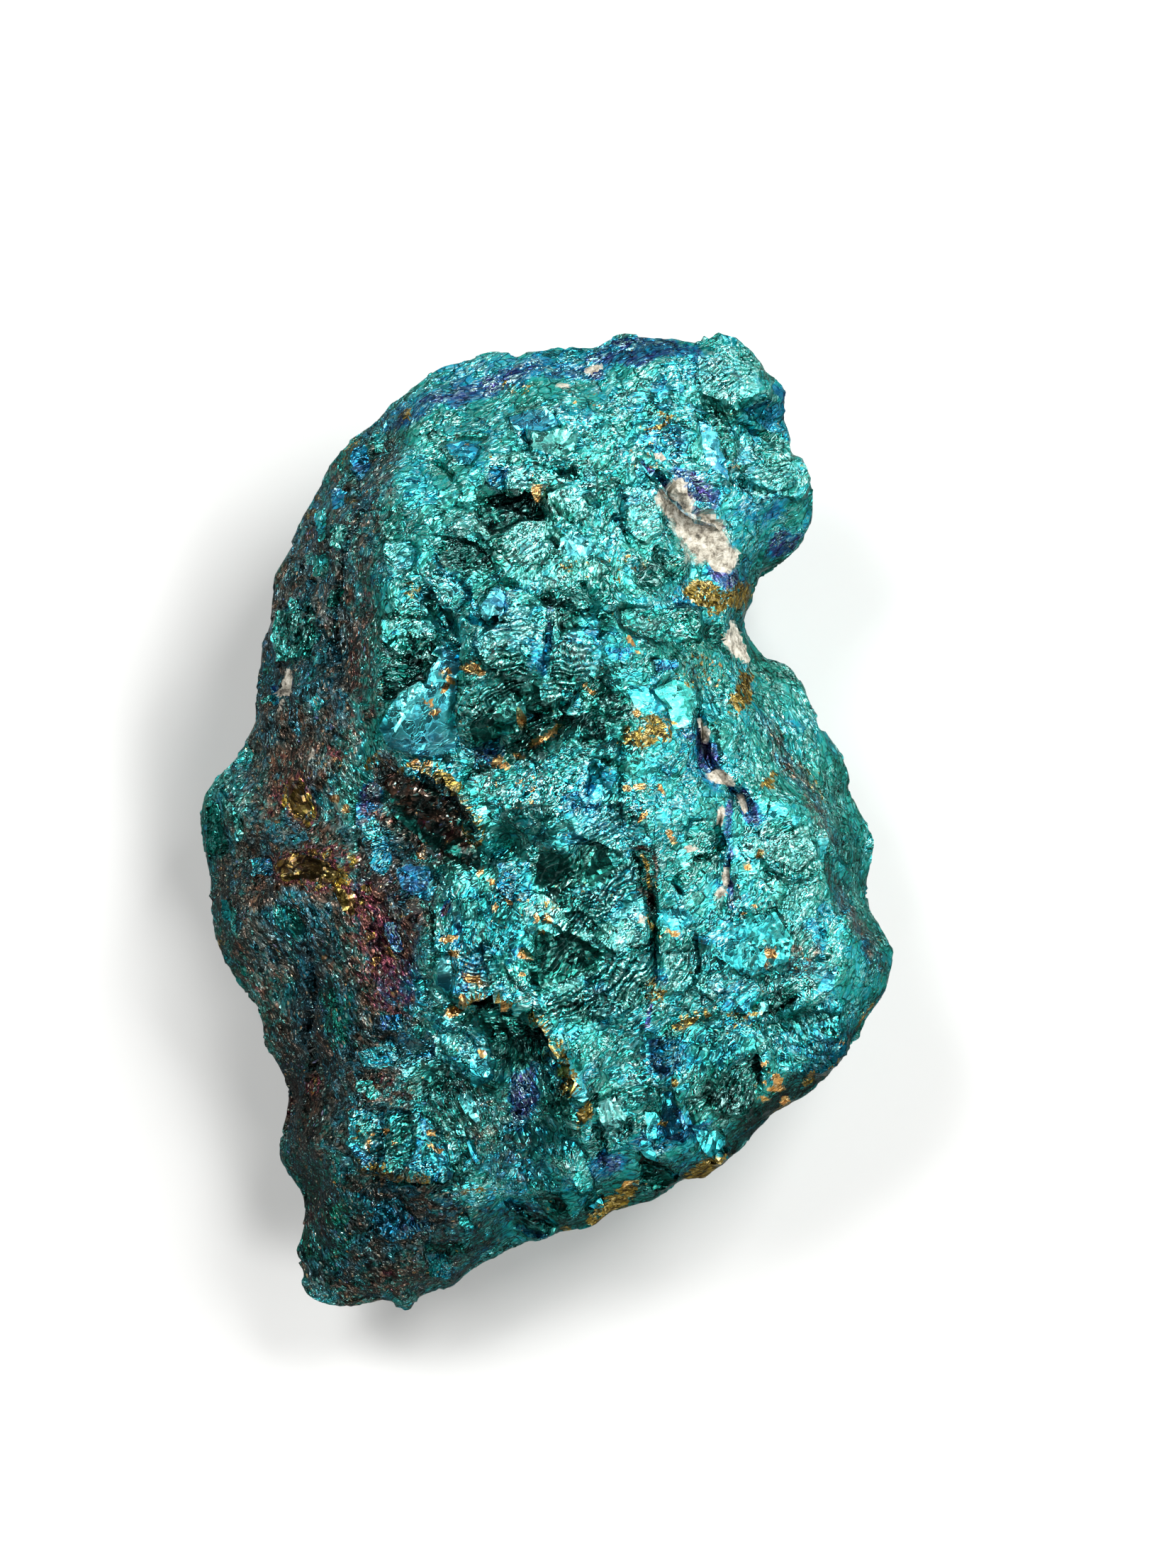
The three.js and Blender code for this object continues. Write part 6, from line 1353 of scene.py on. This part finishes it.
    # Painted highlights: rib tops, creases, some shards and the faces whose tone is above 1 are painted
    # pale.
    share = add("Math MULTIPLY", (rib_highlight, add("Math MULTIPLY", (ribbed, 0.85))))
    metal = add("Mix", {0: share, 6: metal, 7: RIB_HIGHLIGHT}, data_type="RGBA")
    painted_highlight = add("MapRange", (number_3["Green"], 0.72, 0.95))
    painted_highlight = add("Math MULTIPLY", (painted_highlight, add("MapRange", (noise["blotch"], 0.44, 0.6))))
    glint = add("Math MULTIPLY", (add("MapRange", (crease, 0.045, 0.015)), 0.7))
    painted_highlight = add("Math MAXIMUM", (add("Math MULTIPLY", (painted_highlight, 0.5)), glint))
    share = add("Math MULTIPLY", (painted_highlight, crinkle))
    metal = add("Mix", {0: share, 6: metal, 7: CREASE_HIGHLIGHT}, data_type="RGBA")
    share = add("MapRange", (oxide_and_painted_light, 1.0, 1.3, 0.0, 0.3))
    metal = add("Mix", {0: share, 6: metal, 7: FACE_HIGHLIGHT}, data_type="RGBA")
    uneven = shifted(1.0, add("Math MULTIPLY", (crinkle, 0.7)), number_3["Green"])
    metal = add("VectorMath SCALE", {0: metal, "Scale": add("Math MULTIPLY", (light, uneven))})
    # The red is held back most where the light value is low, from oxide and from painted shade alike.
    warm = add("MapRange", (light, 0.2, 1.0, 0.5, 1.0))  # thick oxide keeps the red back most
    metal = add("VectorMath MULTIPLY", (metal, add("CombineXYZ", (warm, 1.0, 1.0))))

    # Bare ore comes through in flakes, and copper in specks.
    bare = add("Math MULTIPLY_ADD", (value["brass"], 0.3, noise["blotch"]))
    bare = add("MapRange", (bare, 0.66, 0.70))
    ore = with_stops(add("ValToRGB", (number_3["Green"],)), ORE_COLOURS, (0.7, settings.ore_colour))
    metal = add("Mix", {0: bare, 6: metal, 7: ore}, data_type="RGBA")
    speck = add("Math MULTIPLY_ADD", (value["specks"], -0.12, noise["blotch"]))
    speck = add("MapRange", (speck, 0.28, 0.25))
    speck = add("Math MULTIPLY", (speck, add("MapRange", (oxide_and_painted_light, 0.5, 0.8))))
    speck = add("Math MAXIMUM", (speck, value["copper"]))
    copper = with_stops(
        add("ValToRGB", (number_3["Red"],)), COPPER_COLOURS, (0.5, settings.copper_colour)
    )
    metal = add("Mix", {0: speck, 6: metal, 7: copper}, data_type="RGBA")

    # Brown and slate-grey dust, with points painted in pale colours as glints: painted highlights.
    dusty = add("Math SUBTRACT", (noise["dusty"], 0.5))
    dusty = add("MapRange", (add("Math MULTIPLY_ADD", (dusty, 2.2, dull)), 0.15, 0.75))
    dusty = add("Math MULTIPLY", (dusty, add("MapRange", (dull, 0.0, 0.3))))
    kind = value["dust"]
    for by, number in ((0.6, noise["kinds"]), (0.25, number_1), (0.2, number_2["Green"])):
        kind = shifted(kind, by, number)
    dust = with_stops(add("ValToRGB", (kind,)), DUST_COLOURS)
    grit = add("Math MULTIPLY", (number_3["Red"], 0.6))
    grit = add("Math MULTIPLY_ADD", (number_2["Red"], 0.25, grit))
    grit = add("Math POWER", (add("Math MULTIPLY_ADD", (noise["blotch"], 0.5, grit)), 3.0))
    grit = add("MapRange", (grit, 0.05, 0.95, 0.14, 3.5))
    grit = add("Math MULTIPLY", (grit, add("MapRange", (noise["open"], 0.35, 0.65, 0.7, 1.3))))
    dust = add("VectorMath SCALE", {0: dust, "Scale": add("Math MULTIPLY", (oxide_and_painted_light, grit))})
    rarity = add("MapRange", (noise["blotch"], 0.36, 0.6, 0.97, 0.72))
    painted_glint = add("Math GREATER_THAN", (number_3["Blue"], rarity))
    point = add("MapRange", (shard["Distance"], 0.45, 0.36))
    painted_glint = add("Math MULTIPLY", (painted_glint, point))
    painted_glint_ramp = with_stops(add("ValToRGB", (number_3["Green"],)), PAINTED_GLINT_COLOURS)
    dust = add("Mix", {0: painted_glint, 6: dust, 7: painted_glint_ramp}, data_type="RGBA")
    share = add("Math MULTIPLY", (dusty, 0.95))
    colour = add("Mix", {0: share, 6: metal, 7: dust}, data_type="RGBA")

    # Quartz: matte, grey-white, with dark grains.
    grains = with_stops(
        add("ValToRGB", (noise["grains"],)), QUARTZ_COLOURS, (0.54, settings.quartz_colour)
    )
    colour = add("Mix", {0: quartz, 6: colour, 7: grains}, data_type="RGBA")
    stony = add("Math MAXIMUM", (quartz, add("Math MULTIPLY", (dusty, 0.12))))
    metallic = add("Math SUBTRACT", (1.0, stony))
    rough = add("Math MULTIPLY_ADD", (number_2["Blue"], 0.2, settings.gloss_roughness - 0.1))
    rough = add("Math MULTIPLY_ADD", (dull, -0.05, rough))
    rough = add("Math MULTIPLY_ADD", (quartz, 0.4, rough), use_clamp=True)

    # Crumpled foil: three sizes of facet, creases, ribs and cracks, with more of them under the dust.
    relief = add("Math MULTIPLY", (plane(wander, facet), 0.26))
    relief = add("Math MULTIPLY_ADD", (plane(sliver_flow, sliver), 0.5 * SLIVER[1], relief))
    height = add("Math MULTIPLY", (crinkle, 1.8 * SHARD[1]))
    relief = add("Math MULTIPLY_ADD", (plane(shard_flow, shard), height, relief))
    depth = add("Math MULTIPLY", (crinkle, -0.55))
    relief = add("Math MULTIPLY_ADD", (crease, depth, relief))
    relief = add("Math MULTIPLY", (relief, add("Math MULTIPLY_ADD", (dull, 2.4, 1.0))))
    relief = add("Math MULTIPLY_ADD", (add("Math MULTIPLY", (ridge, ribbed)), 0.22, relief))
    relief = add("Math MULTIPLY_ADD", (cracks, -0.04, relief))
    strength = add("Math SUBTRACT", (1.0, add("Math MULTIPLY", (sleek, 0.65))))
    distance = MM * settings.foil_relief
    bump = add("Bump", {"Strength": strength, "Distance": distance, "Height": relief})

    for title, made in (
        ("Base Color", colour), ("Metallic", metallic), ("Roughness", rough), ("Normal", bump),
    ):
        output = next(output for output in made.outputs if output.enabled)
        tree.links.new(output, shader.inputs[title])
    shader.inputs["Specular Tint"].default_value = linear("#5A6464")  # a tarnished metal keeps dark edges
    shader.inputs["Coat Weight"].default_value = 0.06
    shader.inputs["Coat Roughness"].default_value = 0.15
    return material


# --- the add-on ---


class PeacockOreSettings(bpy.types.PropertyGroup):
    chip_size: bpy.props.FloatProperty(
        name="Chip size", description="Width of the flat chips that the surface broke into",
        default=1.5 * MM, min=0.4 * MM, unit="LENGTH", precision=5,
    )
    chip_step: bpy.props.FloatProperty(
        name="Chip step", description="How far the chips stand in or out",
        default=0.09 * MM, min=0.0, unit="LENGTH", precision=5,
    )
    rib_step: bpy.props.FloatProperty(
        name="Rib step", description="Height of the long ribs that run like crumpled foil",
        default=0.22 * MM, min=0.0, unit="LENGTH", precision=5,
    )
    evening: bpy.props.IntProperty(
        name="Evening", description="How many times the big facets' edges are softened first",
        default=50, min=0, max=80,
    )
    foil_relief: bpy.props.FloatProperty(
        name="Foil relief", description="Height in mm of the finest crumples, which the finish draws",
        default=0.5, min=0.0, max=4.0,
    )
    gloss_roughness: bpy.props.FloatProperty(
        name="Facet roughness", description="Roughness of a clean broken facet",
        default=0.28, min=0.05, max=1.0, subtype="FACTOR",
    )
    film_colour: bpy.props.FloatVectorProperty(
        name="Film colour", description="Colour of the tarnish that most of the stone has",
        default=linear("#3EB2AA"), size=4, min=0.0, max=1.0, subtype="COLOR",
    )
    ore_colour: bpy.props.FloatVectorProperty(
        name="Ore colour", description="Colour of the bare, brassy ore",
        default=linear("#8E7A3C"), size=4, min=0.0, max=1.0, subtype="COLOR",
    )
    copper_colour: bpy.props.FloatVectorProperty(
        name="Copper colour", description="Colour of the copper specks",
        default=linear("#C49558"), size=4, min=0.0, max=1.0, subtype="COLOR",
    )
    quartz_colour: bpy.props.FloatVectorProperty(
        name="Quartz colour", description="Colour of the quartz",
        default=linear("#C4BEAE"), size=4, min=0.0, max=1.0, subtype="COLOR",
    )
    floor_colour: bpy.props.FloatVectorProperty(
        name="Floor colour", description="Colour of the paper that the stone lies on",
        default=linear("#E0E0DE"), size=4, min=0.0, max=1.0, subtype="COLOR",
    )


class ORE_OT_make_stone(bpy.types.Operator):
    """Make the stone: the broken surface, its tarnish and its pale quartz"""

    bl_idname = "ore.make_stone"
    bl_label = "Make stone"

    def execute(self, context):
        settings = context.scene.peacock_ore
        points, faces, values = stone_surface(settings)
        stone = bpy.data.objects.new("ore_stone", mesh_from("ore_stone", points, faces, values))
        context.scene.collection.objects.link(stone)
        stone.data.materials.append(tarnished_chalcopyrite(settings))
        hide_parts("peacock_ore")
        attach(stone, "root")
        return {"FINISHED"}


# The camera looks straight down. Its frame is 2212 pixels high, and a pixel is 0.04 mm of stone.
FRAME_HEIGHT = 2212
MM_PER_PIXEL = 0.04
FRAME_MIDDLE = (2.48, 2.28)  # mm from the stone's middle
CAMERA_HEIGHT = 620  # mm
FOCUS_HEIGHT = 12  # mm, the height of the stone's outline
SENSOR_WIDTH = 36  # mm
NEAREST = 0.01  # m, from where the camera sees

FLOOR_REACH = 1.5  # m each way from the stone
ROOM_COLOUR, ROOM_LIGHT = "#C8CCD0", 0.1

# Softboxes in an arc from the stone's far left round to its near right, as a window gives: name,
# turn from the right-hand side and height in degrees, width in metres, and power.
LIGHT_DISTANCE = 700  # mm
SOFTBOXES = [
    ("key_light", 45, 40, 0.34, 5.2), ("near_light", 315, 45, 0.28, 2.9),
    ("far_light", 135, 44, 0.30, 4.4), ("right_light", 0, 22, 0.28, 1.0),
]


class ORE_OT_make_stage(bpy.types.Operator):
    """Make the floor, the studio lights and the camera that looks down on the stone"""

    bl_idname = "ore.make_stage"
    bl_label = "Make stage"

    def execute(self, context):
        scene = context.scene
        floor = bpy.data.meshes.new("floor")
        corners = ((-1, -1), (1, -1), (1, 1), (-1, 1))
        floor.from_pydata([(FLOOR_REACH * x, FLOOR_REACH * y, 0) for x, y in corners], [], [(0, 1, 2, 3)])
        floor = bpy.data.objects.new("floor", floor)
        scene.collection.objects.link(floor)
        # White drawing paper is matte: it takes a soft shadow and shows no gloss.
        paper = bpy.data.materials.new("white_paper")
        paper.use_nodes = True
        shader = paper.node_tree.nodes["Principled BSDF"]
        shader.inputs["Base Color"].default_value = scene.peacock_ore.floor_colour
        shader.inputs["Roughness"].default_value = 0.9
        floor.data.materials.append(paper)

        world = bpy.data.worlds.new("studio")
        world.use_nodes = True
        background = world.node_tree.nodes["Background"]
        background.inputs["Color"].default_value = linear(ROOM_COLOUR)
        background.inputs["Strength"].default_value = ROOM_LIGHT
        scene.world = world

        for name, turn, height, size, power in SOFTBOXES:
            self.softbox(scene, name, turn, height, size, power)

        camera = bpy.data.cameras.new("camera")
        camera.sensor_width = SENSOR_WIDTH
        reach = CAMERA_HEIGHT - FOCUS_HEIGHT
        camera.lens = SENSOR_WIDTH * reach / (FRAME_HEIGHT * MM_PER_PIXEL)
        camera.clip_start = NEAREST
        camera = bpy.data.objects.new("camera", camera)
        camera.location = (FRAME_MIDDLE[0] * MM, FRAME_MIDDLE[1] * MM, CAMERA_HEIGHT * MM)
        scene.collection.objects.link(camera)
        scene.camera = camera
        scene.view_settings.view_transform = "Standard"
        return {"FINISHED"}

    def softbox(self, scene, name, turn, height, size, power):
        turn, height = math.radians(turn), math.radians(height)
        flat = math.cos(height)
        way = Vector((math.cos(turn) * flat, math.sin(turn) * flat, math.sin(height)))
        light = bpy.data.lights.new(name, "AREA")
        light.size = size
        light.energy = power
        box = bpy.data.objects.new(name, light)
        box.location = LIGHT_DISTANCE * MM * way
        box.rotation_euler = (-way).to_track_quat("-Z", "Y").to_euler()
        scene.collection.objects.link(box)


class ORE_PT_panel(bpy.types.Panel):
    bl_label = "Peacock Ore"
    bl_idname = "ORE_PT_panel"
    bl_space_type = "VIEW_3D"
    bl_region_type = "UI"
    bl_category = "Peacock Ore"

    def draw(self, context):
        settings = context.scene.peacock_ore
        for name in settings.bl_rna.properties.keys():
            if name not in {"rna_type", "name"}:
                self.layout.prop(settings, name)
        for operator in OPERATORS:
            self.layout.operator(operator.bl_idname)


OPERATORS = (ORE_OT_make_stone, ORE_OT_make_stage)
CLASSES = (PeacockOreSettings, *OPERATORS, ORE_PT_panel)


def register():
    for each in CLASSES:
        bpy.utils.register_class(each)
    bpy.types.Scene.peacock_ore = bpy.props.PointerProperty(type=PeacockOreSettings)


def unregister():
    del bpy.types.Scene.peacock_ore
    for each in reversed(CLASSES):
        bpy.utils.unregister_class(each)


def main():
    register()
    bpy.ops.ore.make_stone()
    bpy.ops.ore.make_stage()


if __name__ == "__main__":
    main()
